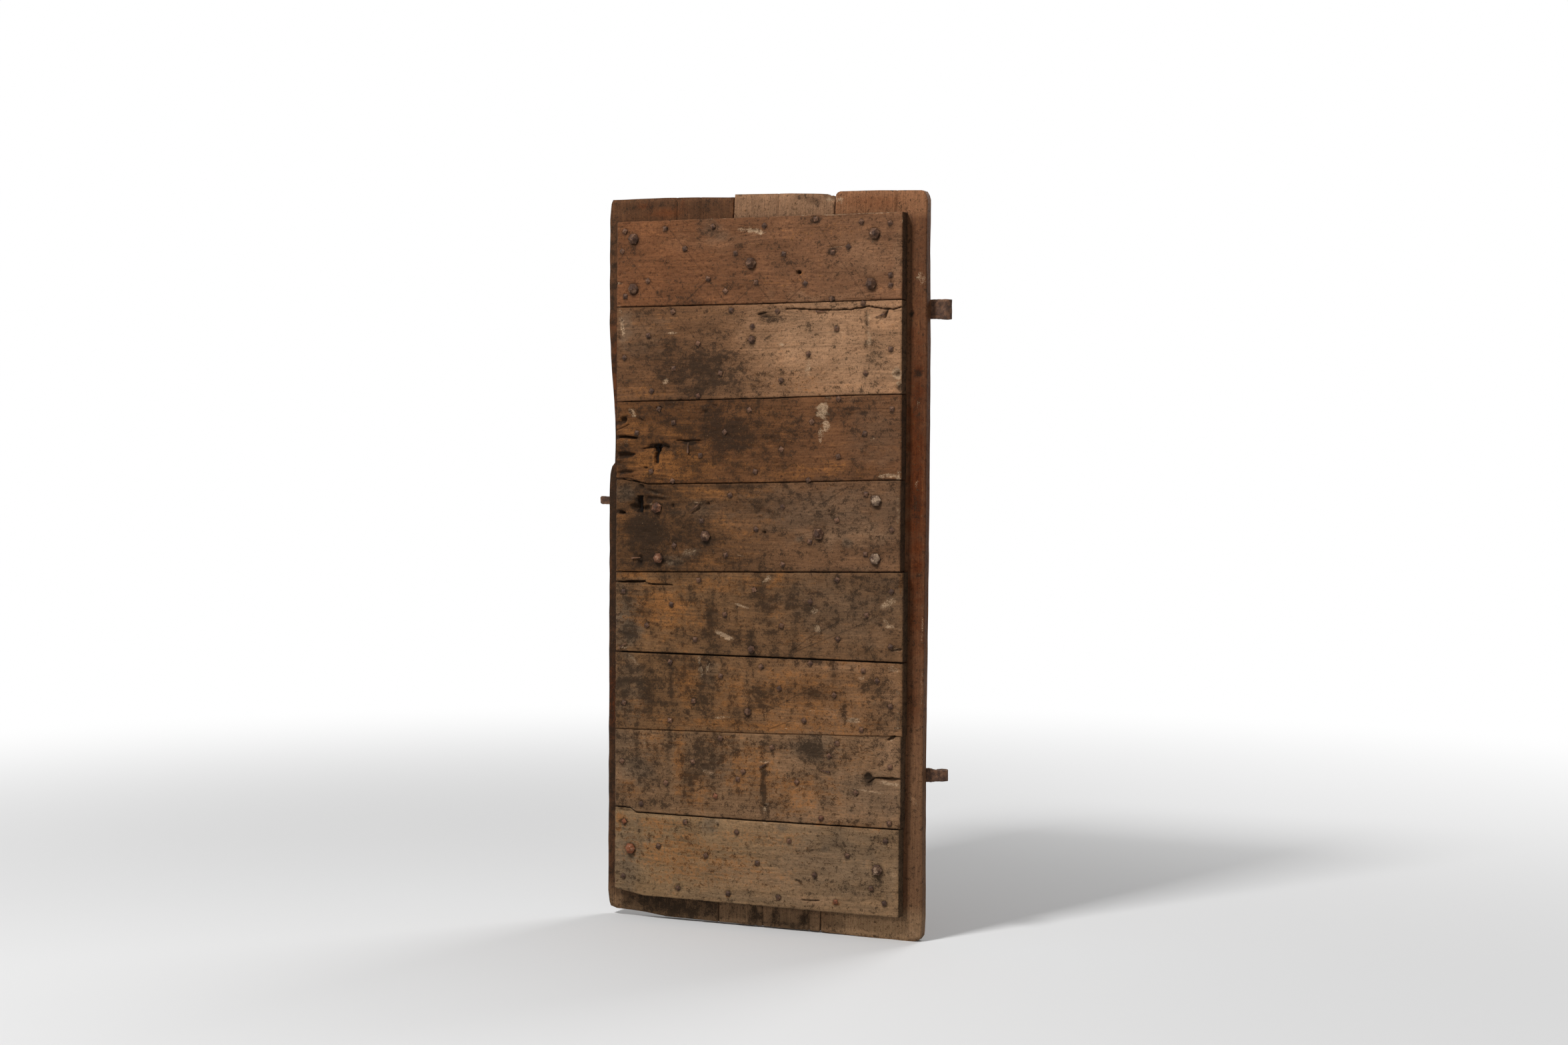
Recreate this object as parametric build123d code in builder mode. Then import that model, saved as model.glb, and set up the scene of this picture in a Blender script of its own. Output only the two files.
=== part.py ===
"""Old plank door leaf: eight level boards nailed over three upright boards, hung on strap hinges.

The leaf is drawn in its own upright coordinates: u runs across it from the left edge of the
back layer, z runs up from its foot. In the part's frame +X points along u, +Y points out of
the back of the leaf and +Z points up. The origin is on the hinge axis, at the middle of the
lower eye.
"""

import os
from math import cos, pi, radians, sin

from build123d import *

# The leaf and its two layers of boards
leaf_width = 820.0
leaf_height = 1750.0
back_thickness = 30.0
front_thickness = 35.0
left_margin = 37.0
right_margin = 45.0
arris = 1.5
back_gap = 1.5

# Strap hinges
bore_radius = 8.25
strap_thickness = 6.0
axis_beyond_leaf = 33.0
roll_angle = 292.0
strap_reach = 455.0
strap_point = 34.0
upper_hinge_drop = 276.0
lower_hinge_height = 388.0
upper_eye_height = 47.0
upper_root_height = 47.0
lower_eye_height = 28.0
lower_root_height = 34.0
strap_tail_height = 30.0
root_beyond_eye = 12.0

# Square wrought nails: width across the head, height of the head, width of its crown where it
# has one, width of the shank under the head
small_head, small_rise, small_shank = 11.5, 4.5, 4.0
small_bite = 20.0
round_head, round_rise, round_crown, round_shank = 19.0, 6.5, 9.0, 5.0
large_head, large_rise, large_crown, large_shank = 27.0, 13.0, 10.0, 7.0
large_rim = 2.5
round_rim = 1.0
shank_taper = 2.0
strap_head, strap_rise, strap_crown, strap_shank = 15.0, 4.0, 8.0, 6.0
blunt_end = 1.2
head_facets = 6
head_turn = 37.0
quarter_turn = 90.0
clench_length = 26.0
clench_thickness = 4.0
bent_length = 24.0
bent_thickness = 4.0
bent_bite = 30.0

# Keyhole and the box lock behind it
key_radius = 13.0
key_slot_width = 15.0
key_slot_drop = 38.0
key_slot_shift = 3.0
case_depth = 24.0
case_wall = 2.5
case_left = 18.0
case_width = 200.0
case_below_key = 48.0
case_above_key = 74.0
lug_width = 26.0
lug_length = 26.0
lug_from_end = 54.0
side_lug_drop = 10.0
bolt_height = 22.0
bolt_thickness = 8.0
bolt_length = 187.0
bolt_above_key = 26.0
bolt_stand_off = 7.0
talon_width = 34.0
talon_depth = 11.0
bolt_play = 0.4
bolt_mouth = 10.0
guide_thickness = 4.0
guide_width = 12.0
guide_from_left = 142.0
spring_thickness = 1.6
spring_width = 8.0
spring_length = 92.0
spring_foot = 12.0
seat_play = 0.3

# Latch slot, and the bar, pivot and staple behind it
slot_width = 19.0
slot_height = 43.0
bar_thickness = 6.0
bar_tip_height = 20.5
bar_root_height = 22.0
bar_beyond_leaf = 39.0
bar_play = 0.6
bar_nose = 3.0
pivot_radius = 4.0
pivot_clearance = 0.08
pivot_head_radius = 8.0
pivot_head_rise = 4.0
pivot_shank = 6.0
pivot_clench = 30.0
pivot_turn = 215.0
latch_lift = 7.0
staple_width = 7.0
staple_thickness = 5.0
staple_bite = 27.0
staple_from_left = 32.0
staple_play = 0.3

# Size of the leaf that the spots below were read from, across and up, and the survey's unit
survey_leaf = (820.0, 1750.0)
survey_unit = 1.0

# Keyhole, latch slot, pivot of the latch bar and the bar's tip
fitting_spots = {
    "keyhole": (149, 1148),
    "slot": (102, 1012),
    "pivot": (258, 1012),
    "bar_tip": (0, 1018),
}

# Seams between the front boards, top to bottom, from left to right
seam_points = [
    [(37, 1692), (60, 1694), (775, 1696)],
    [(37, 1488), (400, 1490), (775, 1494.5)],
    [(37, 1259), (200, 1262), (420, 1267), (600, 1272.5), (775, 1276.5)],
    [(37, 1074), (100, 1065), (122, 1060.5), (417, 1067), (775, 1078)],
    [(37, 846), (200, 850), (417, 855.5), (775, 864.5)],
    [(37, 652), (417, 653.5), (775, 654)],
    [(37, 463), (417, 471), (775, 482.5)],
    [(37, 273.5), (79, 272.5), (94, 262), (417, 262.5), (775, 265.5)],
    [(37, 73), (75, 66), (115, 60), (775, 59)],
]
seam_gaps = [0.0, 2.0, 2.0, 2.0, 2.5, 3.5, 1.0, 3.0, 0.0]
right_end_shift = [-3.0, -3.0, -2.0, -3.0, 5.0, 5.0, 2.0, -1.0]

# Seams between the back boards: u at the foot and at the top
back_seam_left = (300.0, 331.5)
back_seam_right = (565.5, 590.5)

# Heights of the back boards' corners beside those seams
left_foot, left_top = 4.5, 1747.0
middle_foot = (4.5, 3.5)
middle_top = (1754.0, 1738.0)
right_foot, right_top = 3.0, 1741.0

# Worn outline of the back layer
back_foot_left = [(5, 22), (25, 15.5), (110, 12), (158, 6)]
back_worn_edge = [
    (1.5, 60), (1.5, 1050), (3, 1086), (8, 1103), (16, 1110), (17, 1150), (16, 1220),
    (13, 1260), (8, 1310), (3, 1380), (0, 1450), (0, 1700), (3, 1746), (9, 1751.5),
]
back_top_left = [(150, 1752), (230, 1750.5)]
back_top_middle = [(480, 1751.5), (569, 1747.5), (573, 1744), (584, 1742.5)]
back_foot_right = [(600, 2.5), (760, 0), (800, 0), (811, 4), (819, 14)]
back_right_edge = [(821, 60), (819, 400), (822, 1000), (822, 1400), (819, 1600), (820, 1726)]
back_top_right = [(816, 1742), (808, 1747.5), (700, 1751), (603, 1752), (596, 1749)]

# Nail spots on each front board
small_spots = [
    [
        (166, 1674), (52, 1623), (219, 1625), (280, 1552), (121, 1550), (61, 1514), (326, 1522),
        (352, 1611), (59, 1671), (292, 1676), (405, 1541), (426, 1674), (557, 1685), (671, 1676),
        (742, 1671), (476, 1606), (639, 1619), (600, 1607), (531, 1536), (744, 1551), (744, 1528),
        (598, 1499),
    ],
    [
        (677, 1487), (188, 1475), (341, 1476), (461, 1472), (123, 1419), (255, 1398), (397, 1437),
        (611, 1429), (59, 1366), (191, 1339), (132, 1285), (256, 1273), (314, 1327), (540, 1371),
        (746, 1380), (684, 1325), (471, 1309),
    ],
    [
        (617, 1266), (191, 1209), (152, 1242), (390, 1240), (93, 1184), (326, 1187), (263, 1131),
        (189, 1069), (132, 1091), (406, 1094), (550, 1212), (750, 1242), (473, 1147), (617, 1131),
        (683, 1185), (542, 1075),
    ],
    [
        (341, 1037), (687, 1044), (477, 1011), (267, 974), (409, 957), (615, 982), (547, 930),
        (752, 962), (687, 904), (194, 914), (331, 894), (478, 875),
    ],
    [
        (260, 832), (617, 843), (405, 813), (187, 772), (549, 789), (59, 799), (752, 819),
        (329, 752), (476, 730), (122, 719), (251, 689), (619, 704), (691, 762), (751, 691),
    ],
    [
        (319, 604), (424, 631), (248, 541), (611, 572), (752, 552), (61, 528), (535, 508),
        (185, 491), (550, 644), (684, 632), (185, 632), (471, 581), (680, 494), (718, 610),
    ],
    [
        (57, 385), (247, 394), (319, 455), (379, 378), (365, 359), (517, 362), (752, 411),
        (307, 315), (109, 284), (580, 280), (667, 346), (751, 279), (175, 339), (453, 440),
        (619, 459), (599, 428),
    ],
    [
        (63, 238), (227, 247), (363, 232), (499, 220), (156, 184), (282, 170), (417, 162),
        (564, 144), (707, 124), (61, 104), (209, 86), (341, 83), (472, 84), (618, 85), (742, 237),
        (740, 91), (647, 196),
    ],
]
round_spots = [(395, 1406), (390, 522), (399, 671)]
large_spots = [(83, 1652), (82, 1532), (392, 1587), (704, 1648), (696, 1532), (277, 938),
               (569, 949), (152, 882), (712, 1029), (711, 894), (722, 168), (80, 173)]
short_large_spot = (147, 1004)
bent_spots = [(84, 881, 5), (50, 662, 35)]

# Strap nails, driven from the back: distance from the hinge axis, height off the strap's
# middle, and for those that come out of the front the way the point is turned over
upper_strap_spots = [(68, 0), (195, 0), (strap_reach - 82, 0)]
upper_strap_clenched = [(123, -12, 200), (strap_reach - 164, -4, 0)]
lower_strap_spots = [(68, 0), (150, -2), (strap_reach - 112, 0)]
lower_strap_clenched = [(strap_reach - 202, 2, 170), (strap_reach - 27, 4, 30)]

# Damage cut into each front board: outline and depth
front_damage = {
    1: [
        ([(508, 1558), (522, 1558), (515, 1571)], 18.0),
        ([(352, 1668), (392, 1674), (432, 1662), (420, 1652), (370, 1650)], 2.0),
        ([(590, 1616), (618, 1622), (646, 1618), (620, 1613)], 2.0),
    ],
    2: [
        ([(480, 1472), (650, 1475), (750, 1473), (780, 1479), (780, 1475), (750, 1469), (650, 1471)], 9.0),
        ([(408, 1450), (430, 1442), (455, 1452), (458, 1462), (430, 1468), (410, 1464)], 8.0),
        ([(35, 1392), (44, 1400), (40, 1430), (46, 1455), (52, 1480), (35, 1484)], 6.0),
    ],
    3: [
        ([(35, 1126), (60, 1124), (86, 1132), (80, 1139), (35, 1140)], 14.0),
        ([(35, 1171), (60, 1169), (84, 1168), (62, 1174), (35, 1176)], 8.0),
        ([(197, 1158), (232, 1151), (270, 1156), (262, 1166), (215, 1167)], 4.0),
        ([(54, 1212), (67, 1213), (62, 1220), (55, 1219)], 12.0),
        ([(92, 1211), (118, 1219), (121, 1224), (94, 1217)], 6.0),
    ],
    4: [
        ([(35, 989), (54, 990), (58, 994), (35, 995)], 10.0),
        ([(111, 1008), (131, 1012), (133, 1024), (124, 1033), (111, 1032)], 8.0),
    ],
    5: [
        ([(35, 820), (115, 823), (116, 826), (35, 823)], 12.0),
        ([(118, 819), (150, 816), (186, 818), (150, 819.5)], 5.0),
        ([(757, 683), (782, 677), (782, 686)], 4.0),
    ],
    6: [
        ([(641, 512), (655, 521), (683, 510), (668, 506)], 2.5),
        ([(732, 644), (757, 628), (782, 634), (782, 648)], 3.0),
    ],
    7: [
        ([(695, 362), (705, 361), (713, 380), (778, 382), (778, 386), (712, 385), (704, 396)], 7.0),
        ([(430, 303), (436, 297), (446, 300), (442, 306)], 5.0),
        ([(742, 477), (752, 471), (767, 478), (767, 483), (742, 482)], 9.0),
    ],
    8: [
        ([(532, 84), (552, 81), (576, 86), (552, 86)], 3.0),
    ],
}

# Shrinkage cracks in the back boards: u at the foot of the crack, its height, u at the top
back_cracks = {
    "left": [(178, 1640, 181), (242, 1660, 246)],
    "middle": [(445, 1655, 448)],
    "right": [(743, 1690, 747)],
}
crack_width = 2.4
crack_depth = 16.0

# Places in the part's frame
eye_radius = bore_radius + strap_thickness
back_face = -eye_radius
mid_face = back_face - back_thickness
front_face = mid_face - front_thickness
axis_u = leaf_width + axis_beyond_leaf
front_left = left_margin
front_right = leaf_width - right_margin
leaf_thickness = back_thickness + front_thickness
upper_hinge_height = leaf_height - upper_hinge_drop


def at(u, z):
    """A surveyed spot, on a leaf of this width and height."""
    across = u * survey_unit * leaf_width / survey_leaf[0]
    up = z * survey_unit * leaf_height / survey_leaf[1]
    return (across, up)


def upright(y):
    """Plane across the leaf at depth y, with leaf coordinates, facing forwards."""
    return Plane(origin=(-axis_u, y, -lower_hinge_height), x_dir=(1, 0, 0), z_dir=(0, -1, 0))


def place(u, z, y, turn=0.0, backwards=False):
    """Location of a nail driven at a spot, turned about its own length."""
    flip = 180.0 if backwards else 0.0
    spot = (u - axis_u, y, z - lower_hinge_height)
    return Location(spot) * Location((0, 0, 0), (0, 0, flip)) * Location((0, 0, 0), (0, turn, 0))


def spike(width, length):
    """Square shank drawn out to a point, from y = 0 into the wood."""
    with BuildPart() as body:
        middle = width / 2
        Wedge(width, length, width, middle, middle, middle, middle,
              align=(Align.CENTER, Align.MIN, Align.CENTER))
    return body.part


def shank(width, tip, length, clench=0.0):
    """Square tapering shank, right through the wood, its point turned over by clench."""
    with BuildPart() as body:
        low = (width - tip) / 2
        high = (width + tip) / 2
        Wedge(width, length, width, low, low, high, high, align=(Align.CENTER, Align.MIN, Align.CENTER))
        if clench > 0:
            half = clench_thickness / 2
            with Locations((0, length, -tip / 2)):
                Wedge(tip, clench, clench_thickness, (tip - blunt_end) / 2, half,
                      (tip + blunt_end) / 2, clench_thickness, rotation=(90, 0, 0),
                      align=(Align.CENTER, Align.MIN, Align.MAX))
    return body.part


def peaked_head(head, rise):
    """Head of a small nail: four hammered facets up to a low peak, on y = 0."""
    with BuildPart() as body:
        with Locations(Location((0, 0, 0), (0, 0, 180))):
            add(spike(head, rise))
    return body.part


def square_head(head, rise, crown):
    """Head of a strap nail: four facets up to a flat crown, on y = 0."""
    with BuildPart() as body:
        low = (head - crown) / 2
        high = (head + crown) / 2
        Wedge(head, rise, head, low, low, high, high, rotation=(0, 0, 180),
              align=(Align.CENTER, Align.MIN, Align.CENTER))
    return body.part


def faceted_head(head, rim, rise, crown):
    """Head of a large nail: a rim and hammered facets up to a small crown."""
    inset = (head - crown) / 2 * cos(pi / head_facets)
    with BuildPart() as body:
        with BuildSketch(Plane.XZ):
            RegularPolygon(head / 2, head_facets)
        extrude(amount=rise)
        top = body.faces().sort_by(Axis.Y)[0]
        chamfer(top.edges(), inset, rise - rim, reference=top)
    return body.part


def joined(*solids):
    """One solid of a nail's head and shank."""
    with BuildPart() as body:
        add(solids)
    return body.part


def turned(index):
    """Each hammered head sits at its own angle."""
    return (index * head_turn) % quarter_turn


# Nails, drawn with the underside of the head on y = 0, and the holes that their shanks fill
blind_length = front_thickness + small_bite
small_hole = spike(small_shank, blind_length)
small_nail = joined(peaked_head(small_head, small_rise), small_hole)
round_hole = spike(round_shank, blind_length)
round_nail = joined(faceted_head(round_head, round_rim, round_rise, round_crown), round_hole)
large_top = faceted_head(large_head, large_rim, large_rise, large_crown)
large_tip = large_shank - shank_taper
large_hole = shank(large_shank, large_tip, leaf_thickness)
large_nail = joined(large_top, shank(large_shank, large_tip, leaf_thickness, clench_length))
short_hole = spike(large_shank, blind_length)
short_nail = joined(large_top, short_hole)
iron_top = square_head(strap_head, strap_rise, strap_crown)
iron_tip = strap_shank - shank_taper
strap_bite = strap_thickness + back_thickness + front_thickness / 2
strap_hole = spike(strap_shank, strap_bite)
strap_nail = joined(iron_top, strap_hole)
through_reach = strap_thickness + leaf_thickness
through_hole = shank(strap_shank, iron_tip, through_reach)
through_nail = joined(iron_top, shank(strap_shank, iron_tip, through_reach, clench_length))
lug_bite = case_wall + back_thickness
lug_hole = spike(strap_shank, lug_bite)
lug_nail = joined(iron_top, lug_hole)
side_reach = case_wall + leaf_thickness
side_hole = shank(strap_shank, iron_tip, side_reach)
side_nail = joined(iron_top, shank(strap_shank, iron_tip, side_reach, clench_length))
bent_hole = spike(bent_thickness, bent_bite)

small_places = [
    [place(*at(u, z), front_face, turned(3 * row + i)) for i, (u, z) in enumerate(spots)]
    for row, spots in enumerate(small_spots)
]
round_places = [place(*at(u, z), front_face, turned(i)) for i, (u, z) in enumerate(round_spots)]
large_places = [place(*at(u, z), front_face) for u, z in large_spots]
short_large_place = place(*at(*short_large_spot), front_face, head_turn)
bent_places = [place(*at(u, z), front_face, quarter_turn - slope) for u, z, slope in bent_spots]

strap_rear = back_face + strap_thickness


def strap_places(spots, height):
    """Strap nails whose points stay in the wood."""
    return [place(axis_u - reach, height + rise, strap_rear, 0.0, True) for reach, rise in spots]


def clenched_places(spots, height):
    """Strap nails that come out of the front, with the way each point is turned."""
    return [
        place(axis_u - reach, height + rise, strap_rear, slope - quarter_turn, True)
        for reach, rise, slope in spots
    ]


upper_places = strap_places(upper_strap_spots, upper_hinge_height)
upper_clenched = clenched_places(upper_strap_clenched, upper_hinge_height)
lower_places = strap_places(lower_strap_spots, lower_hinge_height)
lower_clenched = clenched_places(lower_strap_clenched, lower_hinge_height)

# Keyhole, lock and latch spots
key_u, key_z = at(*fitting_spots["keyhole"])
slot_u, slot_z = at(*fitting_spots["slot"])
pivot_u, pivot_z = at(*fitting_spots["pivot"])
bar_tip_z = at(*fitting_spots["bar_tip"])[1]

# Lock case and its lugs
case_right = case_left + case_width
case_bottom = key_z - case_below_key
case_top = key_z + case_above_key
case_middle = ((case_left + case_right) / 2, (case_bottom + case_top) / 2)
case_height = case_top - case_bottom
case_rear = back_face + case_depth
plate_front = case_rear - case_wall
lug_rear = back_face + case_wall
lug_centres = [
    (case_left + lug_from_end, case_top + lug_length / 2),
    (case_right - lug_from_end, case_top + lug_length / 2),
    (case_left + lug_from_end, case_bottom - lug_length / 2),
]
side_lug = (case_right + lug_width / 2, key_z - side_lug_drop)
lug_places = [place(u, z, lug_rear, 0.0, True) for u, z in lug_centres]
side_place = place(*side_lug, lug_rear, 0.0, True)

# Bolt of the lock, drawn back into its case
bolt_front = back_face + bolt_stand_off
bolt_rear = bolt_front + bolt_thickness
bolt_low = key_z + bolt_above_key
bolt_high = bolt_low + bolt_height
bolt_middle = (bolt_low + bolt_high) / 2
bolt_right = case_left + bolt_length
guide_u = case_left + guide_from_left

# Latch bar, lying just off the back of the leaf
bar_front = back_face + bar_play
bar_rear = bar_front + bar_thickness
bar_low = bar_tip_z - bar_tip_height / 2
bar_high = bar_tip_z + bar_tip_height / 2
bar_root_low = pivot_z - bar_root_height / 2
bar_root_high = pivot_z + bar_root_height / 2
pivot_place = place(pivot_u, pivot_z, back_face, pivot_turn - quarter_turn, True)
pivot_tip = pivot_shank - shank_taper
pivot_hole = shank(pivot_shank, pivot_tip, leaf_thickness)

# Staple that the latch bar rises and falls in
bar_slope = (bar_root_low - bar_low) / (pivot_u + bar_beyond_leaf)
staple_inner = staple_from_left + staple_width / 2
staple_outer = staple_from_left - staple_width / 2
staple_floor = bar_low + bar_slope * (staple_inner + bar_beyond_leaf) - staple_play
staple_rise = (pivot_u - staple_outer) * sin(radians(latch_lift))
staple_roof = bar_high + staple_rise + staple_play
staple_bridge = bar_rear + bar_play
staple_rear = staple_bridge + staple_thickness
staple_legs = [staple_floor - staple_thickness / 2, staple_roof + staple_thickness / 2]
staple_hole = spike(staple_thickness, staple_bite)
staple_places = [place(staple_from_left, z, back_face, 0.0, True) for z in staple_legs]


def cut_holes(solid, places):
    """Holes that nails made in the piece being built."""
    with Locations(*places):
        add(solid, mode=Mode.SUBTRACT)


def cut_nail_holes(left, right, foot, top):
    """Holes of every nail near the board being built, which lies within these limits."""
    groups = [(small_hole, places) for places in small_places] + [
        (round_hole, round_places),
        (large_hole, large_places),
        (short_hole, [short_large_place]),
        (bent_hole, bent_places),
        (strap_hole, upper_places + lower_places),
        (through_hole, upper_clenched + lower_clenched),
        (lug_hole, lug_places),
        (side_hole, [side_place]),
        (pivot_hole, [pivot_place]),
        (staple_hole, staple_places),
    ]
    for solid, places in groups:
        near = []
        for spot in places:
            u = spot.position.X + axis_u
            z = spot.position.Z + lower_hinge_height
            if left - large_head < u < right + large_head and foot - large_head < z < top + large_head:
                near.append(spot)
        if near:
            cut_holes(solid, near)


def cut_outline(points, depth, face):
    """Cut a surveyed outline into the front of the board being built."""
    with BuildSketch(upright(face)) as outline:
        with BuildLine():
            Polyline(*[at(*point) for point in points], close=True)
        make_face()
    extrude(outline.sketch, amount=-depth, mode=Mode.SUBTRACT)


def key_outline():
    """Keyhole: a round hole over a straight slot, in the sketch being drawn."""
    with Locations((key_u, key_z)):
        Circle(key_radius)
    with Locations((key_u - key_slot_shift, key_z - key_slot_drop / 2)):
        Rectangle(key_slot_width, key_slot_drop)


def cut_key_and_slot(face, depth):
    """Keyhole and latch slot through the layer being built."""
    with BuildSketch(upright(face)) as openings:
        key_outline()
        with Locations((slot_u, slot_z)):
            Rectangle(slot_width, slot_height)
    extrude(openings.sketch, amount=-depth, mode=Mode.SUBTRACT)


def seam(index, side):
    """Outline points along a seam of the front layer, half a gap to one side of it."""
    first, *inner, last = seam_points[index]
    shift = side * seam_gaps[index] / 2
    points = [(front_left, at(*first)[1] + shift)]
    points += [(at(*point)[0], at(*point)[1] + shift) for point in inner]
    return points + [(front_right, at(*last)[1] + shift)]


def front_board(number):
    """One level board of the front layer, number 1 at the top."""
    row = number - 1
    top = seam(row, -1)
    foot = seam(row + 1, 1)
    end = front_right + right_end_shift[row]
    top[-1] = (end, top[-1][1])
    foot[-1] = (end, foot[-1][1])
    with BuildPart() as board:
        with BuildSketch(upright(mid_face)):
            with BuildLine():
                Polyline(*foot, *reversed(top), close=True)
            make_face()
        extrude(amount=front_thickness)
        chamfer(board.faces().sort_by(Axis.Y)[0].edges(), arris)
        for outline, depth in front_damage[number]:
            cut_outline(outline, depth, front_face)
        if number in (3, 4):
            cut_key_and_slot(front_face, front_thickness)
        cut_nail_holes(front_left, end, min(foot[0][1], foot[-1][1]), max(top[0][1], top[-1][1]))
    return board.part


def on_seam(ends, z, side):
    """Point at a surveyed height on a seam between back boards, half a gap to one side."""
    u = ends[0] + (ends[1] - ends[0]) * z / survey_leaf[1]
    across, up = at(u, z)
    return (across + side * back_gap / 2, up)


def surveyed(points):
    """Outline points placed on this leaf."""
    return [at(*point) for point in points]


def back_board(outline, cracks, behind_lock=False):
    """One upright board of the back layer."""
    with BuildPart() as board:
        with BuildSketch(upright(back_face)):
            with BuildLine():
                Polyline(*outline, close=True)
            make_face()
        extrude(amount=back_thickness)
        for foot_u, foot_z, top_u in cracks:
            above = survey_leaf[1] + large_head
            half = crack_width / 2
            tapered = [(foot_u, foot_z), (top_u - half, above), (top_u + half, above)]
            cut_outline(tapered, crack_depth, mid_face)
        if behind_lock:
            cut_key_and_slot(mid_face, back_thickness)
        across = [u for u, z in outline]
        cut_nail_holes(min(across), max(across), 0.0, leaf_height)
    return board.part


back_outlines = {
    "left": surveyed(back_foot_left)
    + [on_seam(back_seam_left, left_foot, -1), on_seam(back_seam_left, left_top, -1)]
    + surveyed(reversed(back_top_left)) + surveyed(reversed(back_worn_edge)),
    "middle": [on_seam(back_seam_left, middle_foot[0], 1), on_seam(back_seam_right, middle_foot[1], -1)]
    + [on_seam(back_seam_right, middle_top[1], -1)] + surveyed(reversed(back_top_middle))
    + [on_seam(back_seam_left, middle_top[0], 1)],
    "right": [on_seam(back_seam_right, right_foot, 1)] + surveyed(back_foot_right)
    + surveyed(back_right_edge) + surveyed(back_top_right)
    + [on_seam(back_seam_right, right_top, 1)],
}


def strap_hinge(height, eye_height, root_height, places, clenched):
    """Strap hammered round a mandrel into an eye, drawn down to a point across the leaf."""
    middle = height - lower_hinge_height
    with BuildPart() as strap:
        with BuildSketch(Plane.XY.offset(middle - root_height)):
            with BuildLine():
                front = Line((-strap_reach, -eye_radius), (0, -eye_radius))
                outside = CenterArc((0, 0), eye_radius, -90, roll_angle)
                inside = CenterArc((0, 0), bore_radius, -90, roll_angle)
                Line(outside @ 1, inside @ 1)
                rear = Line(inside @ 0, (-strap_reach, -bore_radius))
                Line(rear @ 1, front @ 0)
            make_face()
        extrude(amount=2 * root_height)
        with BuildSketch(Plane.XZ.offset(-2 * eye_radius)):
            with BuildLine():
                eye = eye_height / 2
                root = root_height / 2
                tail = strap_tail_height / 2
                neck = -2 * root_beyond_eye
                shoulder = strap_point - strap_reach
                Polyline(
                    (2 * eye_radius, middle - eye), (2 * eye_radius, middle + eye),
                    (-root_beyond_eye, middle + eye), (neck, middle + root),
                    (shoulder, middle + tail), (-strap_reach, middle + blunt_end),
                    (-strap_reach, middle - blunt_end), (shoulder, middle - tail),
                    (neck, middle - root), (-root_beyond_eye, middle - eye),
                    close=True,
                )
            make_face()
        extrude(amount=4 * eye_radius, mode=Mode.INTERSECT)
        cut_holes(strap_hole, places)
        cut_holes(through_hole, clenched)
    return strap.part


def placed(*groups):
    """Fasteners of one node, each a solid of its own."""
    with BuildPart() as nails:
        for solid, places in groups:
            with Locations(*places):
                add(solid)
    return nails.part


def save(solid, name):
    """Label a finished piece and write it."""
    solid.label = name
    export_step(solid, f"parts/{name}.step")


os.makedirs("parts", exist_ok=True)

for number in range(1, len(small_spots) + 1):
    save(front_board(number), f"front_board_{number}")
    save(placed((small_nail, small_places[number - 1])), f"small_nails_{number}")
for side, outline in back_outlines.items():
    save(back_board(outline, back_cracks[side], side == "left"), f"back_board_{side}")
save(placed((large_nail, large_places), (short_nail, [short_large_place])), "large_nails")
save(placed((round_nail, round_places)), "round_nails")

with BuildPart() as bent_nail:
    add(bent_hole)
    with Locations((0, 0, -bent_thickness / 2)):
        Wedge(bent_thickness, bent_length, bent_thickness, blunt_end, 0, bent_thickness - blunt_end,
              bent_thickness - blunt_end, rotation=(90, 0, 0),
              align=(Align.CENTER, Align.MIN, Align.MIN))
save(placed((bent_nail.part, bent_places)), "bent_nails")

hinges = {
    "upper": (upper_hinge_height, upper_eye_height, upper_root_height, upper_places, upper_clenched),
    "lower": (lower_hinge_height, lower_eye_height, lower_root_height, lower_places, lower_clenched),
}
for level, sizes in hinges.items():
    save(strap_hinge(*sizes), f"strap_hinge_{level}")
    save(placed((strap_nail, sizes[3]), (through_nail, sizes[4])), f"strap_nails_{level}")

# Latch bar: forged, drawn down a little to its tip, with a round end about the pivot
with BuildPart() as latch_bar:
    with BuildSketch(upright(bar_rear)):
        with BuildLine():
            lower = Line((-bar_beyond_leaf, bar_low), (pivot_u, bar_root_low))
            round_end = (pivot_u + bar_root_height / 2, pivot_z)
            end = ThreePointArc(lower @ 1, round_end, (pivot_u, bar_root_high))
            upper = Line(end @ 1, (-bar_beyond_leaf, bar_high))
            Line(upper @ 1, lower @ 0)
        make_face()
        with Locations((pivot_u, pivot_z)):
            Circle(pivot_radius + pivot_clearance, mode=Mode.SUBTRACT)
    extrude(amount=bar_thickness)
    chamfer(latch_bar.faces().sort_by(Axis.X)[0].edges().filter_by(Axis.Y), bar_nose)
save(latch_bar.part, "latch_bar")

# Pivot nail: round where the bar turns, square in the wood, its point turned over in front
pivot_stem = bar_play + bar_thickness + bar_play
with BuildPart() as pivot_nail:
    with BuildSketch(Plane.XZ):
        Circle(pivot_radius)
    extrude(amount=pivot_stem)
    with BuildSketch(Plane.XZ.offset(pivot_stem)):
        Circle(pivot_head_radius)
    extrude(amount=pivot_head_rise)
    add(shank(pivot_shank, pivot_tip, leaf_thickness, pivot_clench))
save(placed((pivot_nail.part, [pivot_place])), "latch_pivot")

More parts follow.
